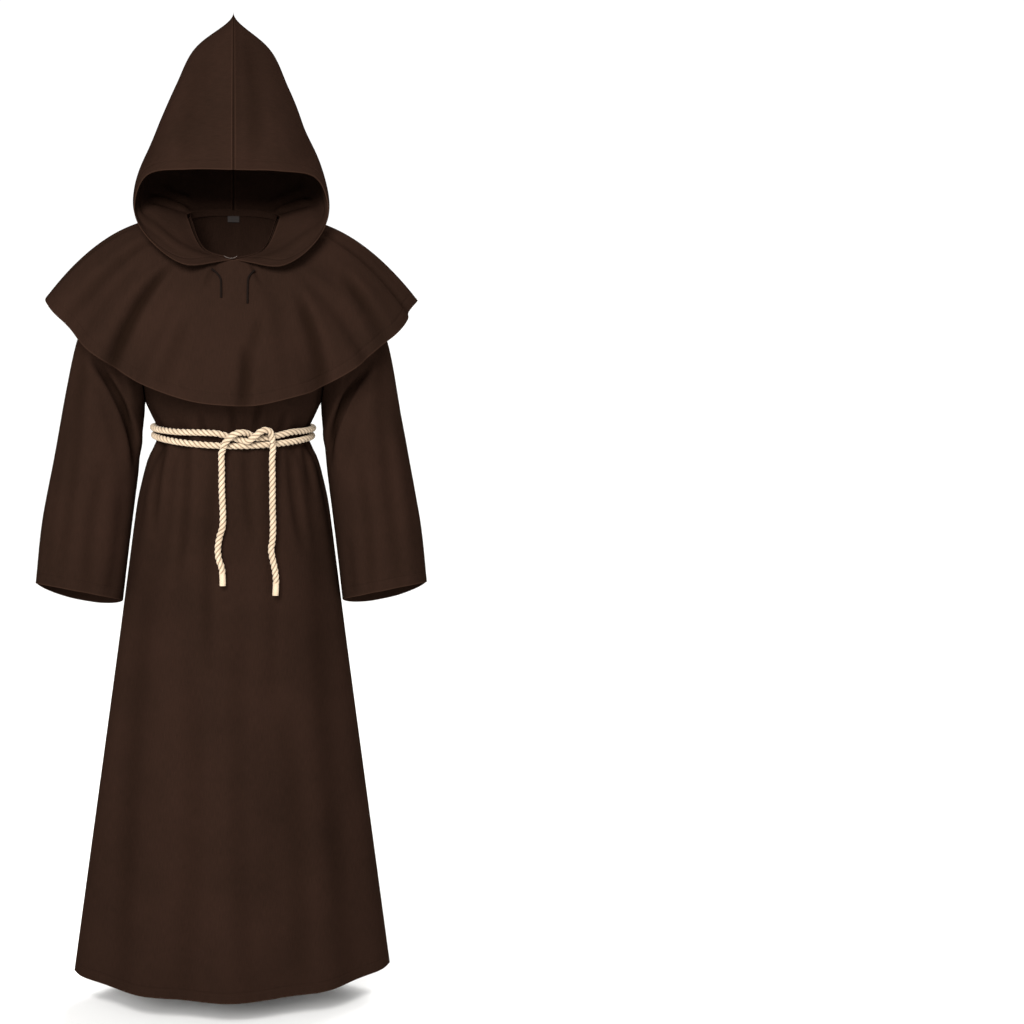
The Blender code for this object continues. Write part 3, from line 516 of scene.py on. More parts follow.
class NodeKit:
    """A material's node tree, with one way of adding to it."""

    def __init__(self, name: str) -> None:
        """Start an empty material of that name with its output and shader."""
        self.material = bpy.data.materials.new(name)
        self.material.use_nodes = True
        self.tree = self.material.node_tree
        self.shader = self.tree.nodes["Principled BSDF"]

    def add(self, kind: str, settings: Optional[dict] = None, **inputs: object) -> bpy.types.Node:
        """Add a node, set its properties and fill or link its inputs.

        Args:
            kind: The node's type without the ShaderNode prefix.
            settings: Properties of the node.
            **inputs: Input names, with _ for a space, each a value or an output to link.

        Returns:
            The node.
        """
        node = self.tree.nodes.new("ShaderNode" + kind)
        for key, value in (settings or {}).items():
            setattr(node, key, value)
        for key, value in inputs.items():
            socket = node.inputs[int(key[1:])] if key[0] == "i" and key[1:].isdigit() else (
                node.inputs[key.replace("_", " ")])
            self.fill(socket, value)
        return node

    def fill(self, socket: bpy.types.NodeSocket, value: object) -> None:
        """Link an output to a socket, or set the socket's own value."""
        if isinstance(value, bpy.types.NodeSocket):
            self.tree.links.new(value, socket)
        else:
            socket.default_value = value

    def fade(self, value: object, full: float, none: float) -> bpy.types.NodeSocket:
        """1 up to a value, falling smoothly to 0 at another."""
        return self.add("MapRange", {"interpolation_type": "SMOOTHSTEP"}, i0=value, i1=full, i2=none,
                        i3=1.0, i4=0.0).outputs[0]

    def maths(self, operation: str, a: object, b: object = 0.0) -> bpy.types.NodeSocket:
        """Result of a Math node on two values."""
        return self.add("Math", {"operation": operation}, i0=a, i1=b).outputs[0]

    def total(self, *parts: tuple[object, float]) -> bpy.types.NodeSocket:
        """Sum of values, each times its own weight."""
        weighed = [self.maths("MULTIPLY", value, weight) for value, weight in parts]
        return reduce(lambda a, b: self.maths("ADD", a, b), weighed)

    def waves(self, value: object, period: float) -> bpy.types.NodeSocket:
        """Sine of a value, one round for each period."""
        return self.maths("SINE", self.maths("MULTIPLY", value, 2 * pi / period))

    def off(self, value: object, line: float) -> bpy.types.NodeSocket:
        """How far a value is from a line, to either side."""
        return self.maths("ABSOLUTE", self.maths("SUBTRACT", value, line))

    def attribute(self, name: str) -> bpy.types.NodeSocket:
        """A number that the mesh holds at each of its points."""
        return self.add("Attribute", {"attribute_name": name}).outputs["Fac"]

    def pattern(self, name: str) -> tuple[bpy.types.NodeSocket, ...]:
        """A UV map, and its two measures on their own."""
        place = self.add("UVMap", {"uv_map": name}).outputs[0]
        return (place, *self.add("SeparateXYZ", Vector=place).outputs[:2])

    def noise(self, where: object, scale: float, **inputs: float) -> bpy.types.NodeSocket:
        """Noise of that many patches to a unit."""
        return self.add("TexNoise", Vector=where, Scale=scale, **inputs).outputs[0]

    def mix(self, share: object, first: object, second: object) -> bpy.types.NodeSocket:
        """First colour where the share is 0 and second where it is 1."""
        return self.add("Mix", {"data_type": "RGBA"}, i0=share, i6=first, i7=second).outputs[2]

    def ramp(self, value: object, *stops: tuple[float, str]) -> bpy.types.NodeSocket:
        """Colour between two stops, each a value and a hex colour."""
        node = self.add("ValToRGB", Fac=value)
        for element, (position, colour) in zip(node.color_ramp.elements, stops):
            element.position, element.color = position, linear(colour)
        return node.outputs[0]

    def bump(self, height: object, strength: float, distance: float, **under: object) -> bpy.types.NodeSocket:
        """Normal of a height, on top of the one under it if there is one."""
        return self.add("Bump", Height=height, Strength=strength, Distance=distance, **under).outputs[0]

    def finish(self, roughness: float, specular: float, **inputs: object) -> bpy.types.Material:
        """Fill the shader and hand over the material."""
        for key, value in {"Roughness": roughness, "Specular IOR Level": specular, **inputs}.items():
            self.fill(self.shader.inputs[key.replace("_", " ")], value)
        return self.material


@dataclass(frozen=True)
class WovenCloth:
    """Plain-woven matt polyester, dyed dark brown: a fine even grain, no shine, soft fuzz of light."""

    name: str = "woven_polyester_matt_brown"
    light: str = "291b15"
    dark: str = "1b120d"
    # One lighter colour serves for the hem's wear and for the painted highlight beside seams.
    worn_and_highlight: str = "33231b"
    seam_shadow: str = "0c0603"
    roughness: float = 0.92
    # The real thread spacing is 0.4 mm, drawn at 0.9 mm so that it still shows in the render.
    thread: float = 0.9 * MM
    stitch_pitch: float = 3.2 * MM
    stitch_inset: float = 18 * MM
    # Painted highlight: a lighter line beside each seam, where the seam's allowance lifts the cloth into the
    # light.
    ridge_inset: float = 3.2 * MM
    seam_highlight: float = 0.4
    # Painted shade: the colour darkens in creases, most of all in the deep ones.
    trough_depth: float = 6.0 * MM
    trough_shade: float = 0.42
    darkest_trough: float = 0.6

    def make(self) -> bpy.types.Material:
        """Build the cloth's material.

        Returns:
            The material, which reads the piece's UV map in metres and its hem, seam and trough attributes,
            and paints shade into seams and creases and a highlight beside seams.
        """
        kit = NodeKit(self.name)
        place, across, along = kit.pattern("cut")
        space = kit.add("TexCoord").outputs["Object"]
        hem, seam, trough = (kit.attribute(name) for name in ("hem", "seam", "trough"))
        weave = kit.maths("MULTIPLY", kit.waves(across, self.thread), kit.waves(along, self.thread))
        drawn_out = kit.add("Mapping", Vector=place, Scale=(900.0, 60.0, 1.0)).outputs[0]
        slub = kit.noise(drawn_out, 1.0, Detail=3.0)
        cloudy = kit.noise(space, 7.0, Detail=5.0, Roughness=0.55)
        crumple = kit.noise(space, 24.0, Detail=4.0, Distortion=0.6)
        shade = kit.ramp(kit.total((cloudy, 0.5), (slub, 0.45)), (0.22, self.dark), (0.72, self.light))
        worn_hem = kit.maths("MULTIPLY", kit.fade(hem, 0.8 * MM, 2.4 * MM), 0.5)
        ridge = kit.fade(kit.off(seam, self.ridge_inset), 0.4 * MM, 1.4 * MM)
        # Hem wear near the free edge, and a painted highlight along the lifted seam allowance.
        wear_and_highlight = kit.maths("MAXIMUM", worn_hem, kit.maths("MULTIPLY", ridge, self.seam_highlight))
        tint = kit.mix(wear_and_highlight, shade, linear(self.worn_and_highlight))
        off_line = kit.off(hem, self.stitch_inset)
        dash = kit.waves(kit.maths("ADD", across, along), self.stitch_pitch)
        stitch = kit.maths("MULTIPLY", kit.fade(off_line, 0.4 * MM, 1.0 * MM),
                           kit.maths("GREATER_THAN", dash, -0.35))
        dip = kit.fade(off_line, 0.0, 4.0 * MM)
        join = kit.fade(seam, 0.2 * MM, 2.2 * MM)
        pucker = kit.maths("MULTIPLY", kit.fade(seam, 1.0 * MM, 14.0 * MM), crumple)
        broad = kit.bump(kit.total((crumple, 0.7), (pucker, 1.0), (dip, -0.35), (join, -1.0)), 1.0, 2.0 * MM)
        fine = kit.bump(kit.total((weave, 0.5), (slub, 0.6), (stitch, -1.5)), 0.35, 0.25 * MM, Normal=broad)
        # Painted shade: seams and creases are darkened towards the seam_shadow colour, deep creases most.
        crease_shade = kit.maths("MULTIPLY", trough, self.trough_shade / self.trough_depth)
        depth = kit.maths("MAXIMUM", kit.maths("MULTIPLY", join, 0.45),
                          kit.maths("MINIMUM", crease_shade, self.darkest_trough))
        return kit.finish(self.roughness, 0.0, Normal=fine,
                          Base_Color=kit.mix(depth, tint, linear(self.seam_shadow)))


@dataclass(frozen=True)
class TwistedCotton:
    """Three-strand twisted cotton rope, undyed: creamy matt yarns, with painted shade darkening the grooves
    between strands.
    """

    name: str = "twisted_cotton_rope_undyed"
    light: str = "ccb89e"
    dark: str = "b09a80"
    # Painted shade for the grooves between strands.
    groove: str = "6e5a45"

    def make(self) -> bpy.types.Material:
        """Build the rope's material.

        Returns:
            The material, which reads the rope's UV map, and its groove attribute for the painted shade in the
            grooves.
        """
        kit = NodeKit(self.name)
        yarns = kit.waves(kit.pattern("yarn")[1], 1.0)
        space = kit.add("TexCoord").outputs["Object"]
        fuzz, cloudy = kit.noise(space, 900.0, Detail=4.0), kit.noise(space, 55.0, Detail=3.0)
        shade = kit.ramp(kit.total((yarns, 0.10), (fuzz, 0.35), (cloudy, 0.55)),
                         (0.25, self.dark), (0.62, self.light))
        # Painted shade: the colour darkens deep in the grooves between strands.
        tint = kit.mix(kit.maths("POWER", kit.attribute("groove"), 1.6), shade, linear(self.groove))
        bump = kit.bump(kit.total((yarns, 0.6), (fuzz, 1.0)), 0.5, 0.3 * MM)
        return kit.finish(0.9, 0.15, Base_Color=tint, Normal=bump, Sheen_Weight=0.15)


PALE_THREAD = TwistedCotton("pale_sewing_thread", "5f5650", "4a423d", "352e2b")


@dataclass(frozen=True)
class BraidedCord:
    """Thin braided polyester cord, nearly black: crossing threads that show only close by."""

    name: str = "braided_cord_dark_brown"
    light: str = "120b08"
    dark: str = "090503"

    def make(self) -> bpy.types.Material:
        """Build the cord's material, whose braid follows the cord's UV map."""
        kit = NodeKit(self.name)
        _, around, along = kit.pattern("yarn")
        one, other = (kit.waves(kit.maths(way, around, along), 1.0) for way in ("ADD", "SUBTRACT"))
        braid = kit.maths("MAXIMUM", one, other)
        tint = kit.mix(kit.maths("MULTIPLY_ADD", braid, 0.5), linear(self.dark), linear(self.light))
        return kit.finish(0.9, 0.05, Base_Color=tint, Normal=kit.bump(braid, 0.5, 0.2 * MM))


@dataclass(frozen=True)
class LabelTape:
    """Woven label tape in plain grey, with no lettering: fine cross ribs and a faint mottle."""

    name: str = "woven_label_tape_grey"
    face: str = "393432"
    mottle: str = "282423"
    rib: float = 0.6 * MM

    def make(self) -> bpy.types.Material:
        """Build the label's material with its fine cross ribs."""
        kit = NodeKit(self.name)
        place, _, along = kit.pattern("cut")
        mottled = kit.maths("MULTIPLY", kit.noise(place, 400.0, Detail=2.0), 0.5)
        bump = kit.bump(kit.waves(along, self.rib), 0.3, 0.1 * MM)
        return kit.finish(0.8, 0.1, Base_Color=kit.mix(mottled, linear(self.face), linear(self.mottle)),
                          Normal=bump)


class Edge(Enum):
    """An edge of a piece's grid."""

    FIRST_ROW = "first row"
    LAST_ROW = "last row"
    FIRST_COLUMN = "first column"
    LAST_COLUMN = "last column"
    NONE = "none"


SIDE_SEAMS = (Edge.FIRST_COLUMN, Edge.LAST_COLUMN)


def body_ring(across: float, height: float, side: Side) -> Vector:
    """Point of the skirt or waist.

    Args:
        across: Place across the panel, -1 to 1.
        height: Height of the section.
        side: Front or back panel.

    Returns:
        The point, with the gathers and the skirt's waves in it.
    """
    ring = from_table(BODY_RINGS, height)
    front = side is Side.FRONT
    angle = across * pi / 2
    depth = ring.front if front else ring.back
    bulge = max(cos(angle), 0.0) ** ring.point
    drop = (ring.drop_front if front else ring.drop_back) * bulge
    pull = gather_depth(FRONT_GATHERS if front else BACK_GATHERS, across, height)
    pull = (pull - skirt_wave(across, height)) * smooth_step((1 - abs(across)) * 8)
    outward = Vector((sin(angle) / ring.half_width, side.value * cos(angle) / depth, 0)).normalized()
    place = Vector((ring.half_width * sin(angle), side.value * depth * bulge, height - drop))
    return place - outward * pull


def gather_depth(gathers: Sequence[Gather], across: float, height: float) -> float:
    """How far the gathers pull the cloth in at a place on a panel."""
    away = height - BELT_HEIGHT
    total = 0.0
    for gather in gathers:
        reach = gather.above if away > 0 else gather.below
        spent = min(abs(away) / reach, 1.5)
        centre = gather.across + gather.drift * spent
        total += (gather.depth * exp(-(away / reach) ** 2)
                  * bell(across - centre, gather.width * (1 + 0.8 * spent)))
    return total


def skirt_wave(across: float, height: float) -> float:
    """Soft waves that open towards the hem."""
    grow = smooth_step((BELT_HEIGHT - 0.12 - height) / 0.8)
    return SKIRT_WAVE_DEPTH * grow * cos(pi * SKIRT_WAVES * across) * (1 - across * across)


def neck_point(angle: float) -> Vector:
    """Point of the neck seam of hood and cape at an angle from the front, mirrored for -X."""
    neck = from_table(NECK_SEAM, abs(angle))
    return Vector((neck.x if angle >= 0 else -neck.x, neck.y, neck.z))


def neckline(share: float, side: Side) -> Vector:
    """Top edge of a panel from the centre (0), just inside the neck seam, to the shoulder tip (1)."""
    turn = min(share / NECK_SHARE, 1.0) * 90
    seam, at_shoulder = neck_point(turn if side is Side.FRONT else 180 - turn), neck_point(90)
    level = Vector((seam.x, seam.y - at_shoulder.y * (turn / 90) ** 2, 0))
    point = level * (1 - NECKLINE_INSET / level.length) + Vector((0, 0, seam.z - NECKLINE_DROP))
    if share > NECK_SHARE:
        t = (share - NECK_SHARE) / (1 - NECK_SHARE)
        point = Vector((point.x + (SHOULDER_TIP[0] - point.x) * t, 0,
                        point.z + (SHOULDER_TIP[1] - point.z) * t ** SHOULDER_SLOPE))
    return point


def armhole(rise: float, side: Side) -> Vector:
    """Edge of the armhole from the armpit (0) to the shoulder tip (1)."""
    width = BODY_RINGS[-1].half_width
    return Vector((width + (SHOULDER_TIP[0] - width) * rise,
                   side.value * ARMHOLE_BULGE * sin(pi * rise) ** 0.8 if 0 < rise < 1 else 0,
                   ARMPIT_HEIGHT + (SHOULDER_TIP[1] - ARMPIT_HEIGHT) * rise))


def centre_line(rise: float, side: Side) -> Vector:
    """Centre of the chest or back from the armpit height (0) to the neckline (1)."""
    ring, top = BODY_RINGS[-1], neckline(0, side)
    start = side.value * (ring.front if side is Side.FRONT else ring.back)
    bulge = side.value * CHEST_BULGE * sin(pi * rise)
    return Vector((0, start + (top.y - start) * rise ** CHEST_CURVE + bulge,
                   ARMPIT_HEIGHT + (top.z - ARMPIT_HEIGHT) * rise))


def body_point(across: float, rise: float, side: Side) -> Vector:
    """Point of a panel of the robe.

    Args:
        across: Place across the panel, -1 to 1.
        rise: Depth below the armpit under 0, and 0 to 1 over the chest.
        side: Front or back panel.

    Returns:
        The point.
    """
    if rise < 0:
        point = body_ring(across, ARMPIT_HEIGHT + rise, side)
    else:
        share = abs(across)
        low = body_ring(across, ARMPIT_HEIGHT, side)
        low.x = abs(low.x)
        corners = ((1 - share) * ((1 - rise) * centre_line(0, side) + rise * neckline(0, side))
                   + share * ((1 - rise) * armhole(0, side) + rise * neckline(1, side)))
        point = ((1 - rise) * low + rise * neckline(share, side)
                 + (1 - share) * centre_line(rise, side) + share * armhole(rise, side) - corners)
        point.x *= 1 if across >= 0 else -1
    point.y += side.value * SEAM / 2
    return point


def cape_point(angle: float, out: float) -> Vector:
    """Point of the cape.

    Args:
        angle: Angle from the front in degrees, -180 to 180.
        out: Share of the way from the neck seam to the hem.

    Returns:
        The point.
    """
    start = neck_point(angle) - Vector((0, 0, CLOTH + SEAM))
    turn = radians(angle)
    front = cos(turn) > 0
    low = CAPE_HEM_FRONT_Z if front else CAPE_HEM_BACK_Z
    hem = Vector((CAPE_HEM_WIDTH * sin(turn), -(CAPE_HEM_FRONT if front else CAPE_HEM_BACK) * cos(turn),
                  CAPE_HEM_SIDE_Z + (low - CAPE_HEM_SIDE_Z) * abs(cos(turn)) ** CAPE_HEM_CURVE))
    rise = CAPE_MIDDLE_FRONT_Z if front else CAPE_MIDDLE_BACK_Z
    reach = CAPE_MIDDLE_FRONT if front else CAPE_MIDDLE_BACK
    middle = Vector((CAPE_MIDDLE_WIDTH * sin(turn), -reach * cos(turn),
                     CAPE_MIDDLE_SIDE_Z * sin(turn) ** 2 + rise * cos(turn) ** 2))
    bend = 4 * middle - start - hem
    point = start * (1 - out) ** 2 + bend * out * (1 - out) + hem * out ** 2
    pull = sum(fold.depth * out ** fold.reach
               * bell(angle - fold.angle - fold.lean * (1 - out), fold.width) for fold in CAPE_FOLDS)
    outward = Vector((sin(turn), -cos(turn), CAPE_LEAN)).normalized()
    point -= outward * pull * smooth_step((180 - abs(angle)) / 8)
    if abs(angle) > 179.9:
        point.x = SEAM / 2 if angle > 0 else -SEAM / 2
    return point


def square_to(axis: Vector, normal: Vector) -> Vector:
    """The normal with its part along an axis taken out."""
    return (normal - axis * normal.dot(axis)).normalized()


@dataclass
class ClothPiece:
    """A cloth wall laid on a surface of two measures and thickened to the inside."""

    name: str
    columns: Sequence[float]
    rows: Sequence[float]
    turn: int
    closed: bool = False
    free_edge: Edge = Edge.NONE
    sewn: tuple[Edge, ...] = ()
    thick: float = CLOTH
    area: float = field(default=0.0, init=False)
    flat: tuple[float, float] = field(default=(0.0, 0.0), init=False)

    def surface(self, column: float, row: float) -> Vector:
        """Point of the piece's plain form."""
        raise NotImplementedError

    def relief(self, column: float, row: float, place: Vector) -> float:
        """How far the creases move the cloth out at a place."""
        return 0.0

    def seam_normal(self, column: float, row: float, place: Vector, normal: Vector) -> Vector:
        """Direction of the wall's thickness, shared with the neighbour at a seam."""
        return normal

    def normals(self, points: list[list[Vector]]) -> list[list[Vector]]:
        """Unit normals of a grid of points, on the piece's outside."""
        wide, tall = len(self.columns), len(self.rows)
        found = []
        for i in range(wide):
            left, right = max(i - 1, 0), min(i + 1, wide - 1)
            if self.closed and i in (0, wide - 1):
                left, right = wide - 2, 1
            line = []
            for j in range(tall):
                run = points[right][j] - points[left][j]
                climb = points[i][min(j + 1, tall - 1)] - points[i][max(j - 1, 0)]
                line.append(run.cross(climb).normalized() * self.turn)
            found.append(line)
        return found

    def lay(self) -> tuple[list[list[Vector]], list[list[Vector]], list[list[float]]]:
        """Points of the creased outside, points of the inside, and how far the creases moved them."""
        plain = [[self.surface(c, r) for r in self.rows] for c in self.columns]
        out = self.normals(plain)
        moves = [[self.relief(c, r, p) for p, r in zip(line, self.rows)]
                 for line, c in zip(plain, self.columns)]
        outer = [[p + n * move for p, n, move in zip(line, found, moved)]
                 for line, found, moved in zip(plain, out, moves)]
        out = self.normals(outer)
        inner = [[p - self.seam_normal(c, r, p, n) * self.thick for p, n, r in zip(line, found, self.rows)]
                 for line, found, c in zip(outer, out, self.columns)]
        return outer, inner, moves

    def lengths(self, points: list[list[Vector]]) -> tuple[list[list[float]], list[list[float]]]:
        """Distance run along each row and up each column, in metres."""
        wide, tall = len(self.columns), len(self.rows)
        run = [[0.0] * tall for _ in range(wide)]
        climb = [[0.0] * tall for _ in range(wide)]
        for i in range(wide):
            for j in range(tall):
                if i:
                    run[i][j] = run[i - 1][j] + (points[i][j] - points[i - 1][j]).length
                if j:
                    climb[i][j] = climb[i][j - 1] + (points[i][j] - points[i][j - 1]).length
        return run, climb

    def away_from(self, edge: Edge, i: int, j: int, run: list[list[float]],
                  climb: list[list[float]]) -> float:
        """Distance of a grid point from an edge of the piece, in metres."""
        return {Edge.FIRST_ROW: climb[i][j], Edge.LAST_ROW: climb[i][-1] - climb[i][j],
                Edge.FIRST_COLUMN: run[i][j], Edge.LAST_COLUMN: run[-1][j] - run[i][j],
                Edge.NONE: 1.0}[edge]

    def build(self, material: bpy.types.Material) -> bpy.types.Object:
        """Make the piece's closed mesh.

        Args:
            material: Its cloth.

        Returns:
            The object, linked to the scene.
        """
        outer, inner, moves = self.lay()
        run, climb = self.lengths(outer)
        wide, tall = len(self.columns) - 1, len(self.rows) - 1
        mesh = bmesh.new()
        column_tag, row_tag = (mesh.verts.layers.int.new(tag) for tag in ("column", "row"))
        hem, seam, trough = (mesh.verts.layers.float.new(tag) for tag in ("hem", "seam", "trough"))
        cut = mesh.loops.layers.uv.new("cut")
        bmesh.ops.create_grid(mesh, x_segments=wide, y_segments=tall, size=1)
        for vert in mesh.verts:
            i, j = round((vert.co.x + 1) / 2 * wide), round((vert.co.y + 1) / 2 * tall)
            vert[column_tag], vert[row_tag] = i, j
            vert[hem] = self.away_from(self.free_edge, i, j, run, climb)
            vert[seam] = min((self.away_from(edge, i, j, run, climb) for edge in self.sewn), default=1.0)
            vert[trough] = max(-moves[i][j], 0.0)
            vert.co = outer[i][j]
        middle = 0 if self.closed else wide // 2
        for face in mesh.faces:
            for loop in face.loops:
                i, j = loop.vert[column_tag], loop.vert[row_tag]
                loop[cut].uv = (run[i][j] - run[middle][j], climb[i][j])
        self.area = sum(face.calc_area() for face in mesh.faces)
        self.flat = (max(run[-1]), max(line[-1] for line in climb))
        if self.closed:
            bmesh.ops.remove_doubles(mesh, verts=mesh.verts, dist=1e-5)
        shell = bmesh.ops.extrude_face_region(mesh, geom=mesh.faces[:], use_keep_orig=True)
        for vert in (item for item in shell["geom"] if isinstance(item, bmesh.types.BMVert)):
            vert.co = inner[vert[column_tag]][vert[row_tag]]
        return finish_mesh(self.name, mesh, material)


def put_in_scene(name: str, data: bpy.types.ID) -> bpy.types.Object:
    """Make an object of that data and link it to the scene."""
    item = bpy.data.objects.new(name, data)
    bpy.context.scene.collection.objects.link(item)
    return item


def finish_mesh(name: str, mesh: bmesh.types.BMesh, material: bpy.types.Material) -> bpy.types.Object:
    """Turn a closed bmesh's normals out and store it as a smooth-shaded object.

    Args:
        name: Name of the object.
        mesh: The bmesh, which is freed.
        material: Its only material.

    Returns:
        The object.
    """
    bmesh.ops.recalc_face_normals(mesh, faces=mesh.faces)
    if mesh.calc_volume(signed=True) < 0:
        bmesh.ops.reverse_faces(mesh, faces=mesh.faces)
    data = bpy.data.meshes.new(name)
    mesh.to_mesh(data)
    mesh.free()
    data.shade_smooth()
    data.set_sharp_from_angle(angle=radians(SHARP_EDGE))
    data.materials.append(material)
    return put_in_scene(name, data)


@dataclass
class Panel(ClothPiece):
    """The front or back panel of the robe, with half of each armhole."""

    side: Side = Side.FRONT
    creases: tuple[Crease, ...] = ()

    def surface(self, column: float, row: float) -> Vector:
        """Point of the panel, whose side edges lap over the other panel's."""
        point = body_point(column, row, self.side)
        if row <= 0:
            at_side = smooth_step((abs(column) - 0.98) / 0.02)
            point.y -= self.side.value * (SEAM / 2 + SEWN_OVERLAP) * at_side
        return point

    def relief(self, column: float, row: float, place: Vector) -> float:
        """Creases of the panel in X and Z, which die out at its seams."""
        fade = smooth_step((1 - abs(column)) * 7) * (smooth_step((1 - row) * 6) if row > 0 else 1.0)
        return crease_relief(self.creases, place.x, place.z) * fade

    def seam_normal(self, column: float, row: float, place: Vector, normal: Vector) -> Vector:
        """Level direction out of the side seams and shoulder seams."""
        at_side = abs(column) > 0.999 and row <= 0
        at_shoulder = row > 0.999 and abs(column) >= NECK_SHARE
        return square_to(Vector((0, 1, 0)), normal) if at_side or at_shoulder else normal


@dataclass
class Sleeve(ClothPiece):
    """One sleeve, a tube from the armhole to the cuff."""

    hand: Hand = Hand.LEFT
    creases: tuple[Crease, ...] = ()

    def surface(self, column: float, row: float) -> Vector:
        """Point of the sleeve, round from the underarm by the front, top and back."""
        ring = from_table(SLEEVE_RINGS, row)
        angle = 2 * pi * column
        inner, outer = Vector((ring.inner_x, 0, ring.inner_z)), Vector((ring.outer_x, 0, ring.outer_z))
        point = (inner + outer) / 2 + (inner - outer) / 2 * cos(angle)
        forward = sin(angle)
        point.y = -ring.depth * abs(forward) ** SLEEVE_BULGE * (1 if forward > 0 else -1)
        point.z += ring.back_drop * forward * (CUFF_FRONT_LIFT if forward > 0 else 1)
        if forward > 0:
            point.y += self.fold(point.x, point.z) * forward
        point.x = self.hand.value * (point.x + SEAM + SLEEVE_CLEARANCE)
        return point

    def fold(self, x: float, z: float) -> float:
        """Depth of the large fold where the sleeve hangs from the shoulder."""
        start = Vector(SLEEVE_FOLD_LINE[0])
        run = Vector(SLEEVE_FOLD_LINE[1]) - start
        here = Vector((x, z)) - start
        share = min(max(here.dot(run) / run.length_squared, 0.0), 1.0)
        return SLEEVE_FOLD_DEPTH * bell((here - run * share).length, SLEEVE_FOLD_WIDTH)

    def relief(self, column: float, row: float, place: Vector) -> float:
        """Creases in X and Z, with X from the middle out in front and below 0 at the back."""
        x = abs(place.x) if place.y < 0 else -abs(place.x)
        return crease_relief(self.creases, x, place.z) * smooth_step(row * 6)

    def seam_normal(self, column: float, row: float, place: Vector, normal: Vector) -> Vector:
        """Direction square to X where the sleeve is sewn to the armhole."""
        return square_to(Vector((1, 0, 0)), normal) if row < 0.001 else normal


@dataclass
class Cape(ClothPiece):
    """The shoulder cape, one wall round the neck whose two ends meet at the centre back."""

    creases: tuple[Crease, ...] = ()

    def surface(self, column: float, row: float) -> Vector:
        """Point of the cape at an angle from the front and a share out."""
        return cape_point(column, row)

    def relief(self, column: float, row: float, place: Vector) -> float:
        """Creases of the cape, by degrees from the front and hundredths of the way out."""
        fade = smooth_step(row * 5) * smooth_step((180 - abs(column)) / 6)
        return crease_relief(self.creases, column, row * 100) * fade

    def seam_normal(self, column: float, row: float, place: Vector, normal: Vector) -> Vector:
        """Direction square to X at the centre-back seam."""
        return square_to(Vector((1, 0, 0)), normal) if abs(column) > 179.9 else normal


@dataclass
class HoodHalf(ClothPiece):
    """One half of the pointed hood, from the face edge to the back seam."""

    hand: Hand = Hand.LEFT
    creases: tuple[Crease, ...] = ()

    def surface(self, column: float, row: float) -> Vector:
        """Point of the hood, smooth through its net."""
        columns = [through([Vector(net) for net in line], column) for line in HOOD_NET]
        point = through(columns, row)
        if self.hand is Hand.RIGHT:
            point.x *= 1 - HOOD_RIGHT_NARROWER * smooth_step((row - 0.2) / 0.3)
        point.x = self.hand.value * (max(point.x, 0.0) - SEWN_OVERLAP)
        point.z -= HOOD_TUCKED_IN * (1 - smooth_step(row * 10))
        return point

    def relief(self, column: float, row: float, place: Vector) -> float:
        """Creases of the hood, by hundredths of its columns and rows."""
        fade = smooth_step(row * 12) * smooth_step((1 - row) * 14) * smooth_step((1 - column) * 12)
        return crease_relief(self.creases, column * 100, row * 100) * fade

    def seam_normal(self, column: float, row: float, place: Vector, normal: Vector) -> Vector:
        """Direction in the middle plane near the seams, so that the halves meet evenly."""
        if abs(place.x) > HOOD_NEAR_SEAM and column < 0.999 and row < 0.999:
            return normal
        away = place - Vector(HOOD_MIDDLE)
        return Vector((0, away.y, away.z)).normalized()


@dataclass
class SizeLabel(ClothPiece):
    """The plain size label on the inside of the back panel below the neckline."""

    def panel(self, column: float, share: float) -> Vector:
        """Point of the back panel's flat facet behind the label."""
        low, high = (body_point(column, rise, Side.BACK) for rise in (LABEL_FACET_LOW, 1.0))
        return low.lerp(high, share)

    def normal(self) -> Vector:
        """Outward normal of that facet."""
        edge = self.columns[-1]
        run = self.panel(edge, 0.5) - self.panel(-edge, 0.5)
        return (self.panel(0, 1) - self.panel(0, 0)).cross(run).normalized()

    def surface(self, column: float, row: float) -> Vector:
        """Point of the label's sewn side."""
        side = self.panel(self.columns[-1], row).lerp(self.panel(-self.columns[-1], row),
                                                     0.5 - 0.5 * column / self.columns[-1])
        return side - self.normal() * (CLOTH + SEAM)

    def seam_normal(self, column: float, row: float, place: Vector, normal: Vector) -> Vector:
        """The facet's own normal all over."""
        return self.normal()


@dataclass
class NeckBand(ClothPiece):
    """The narrow band of the same cloth that lines the robe's neckline."""

    def surface(self, column: float, row: float) -> Vector:
        """Point of the band at an angle from the front, from its lower edge to its upper one."""
        side = Side.FRONT if abs(column) <= 90 else Side.BACK
        turn = abs(column) if side is Side.FRONT else 180 - abs(column)
        point = neckline(turn / 90 * NECK_SHARE, side)
        level = Vector((point.x if column >= 0 else -point.x, point.y, 0))
        level *= 1 - (CLOTH + SEAM) / level.length
        rise = NECK_BAND_LOW + (NECK_BAND_HIGH - NECK_BAND_LOW) * row
        return Vector((level.x, level.y, point.z + rise))


class Station(NamedTuple):
    """A cross-section of a cord: its centre, two directions across it and its distance run."""

    centre: Vector
    side: Vector
    up: Vector
    at: float


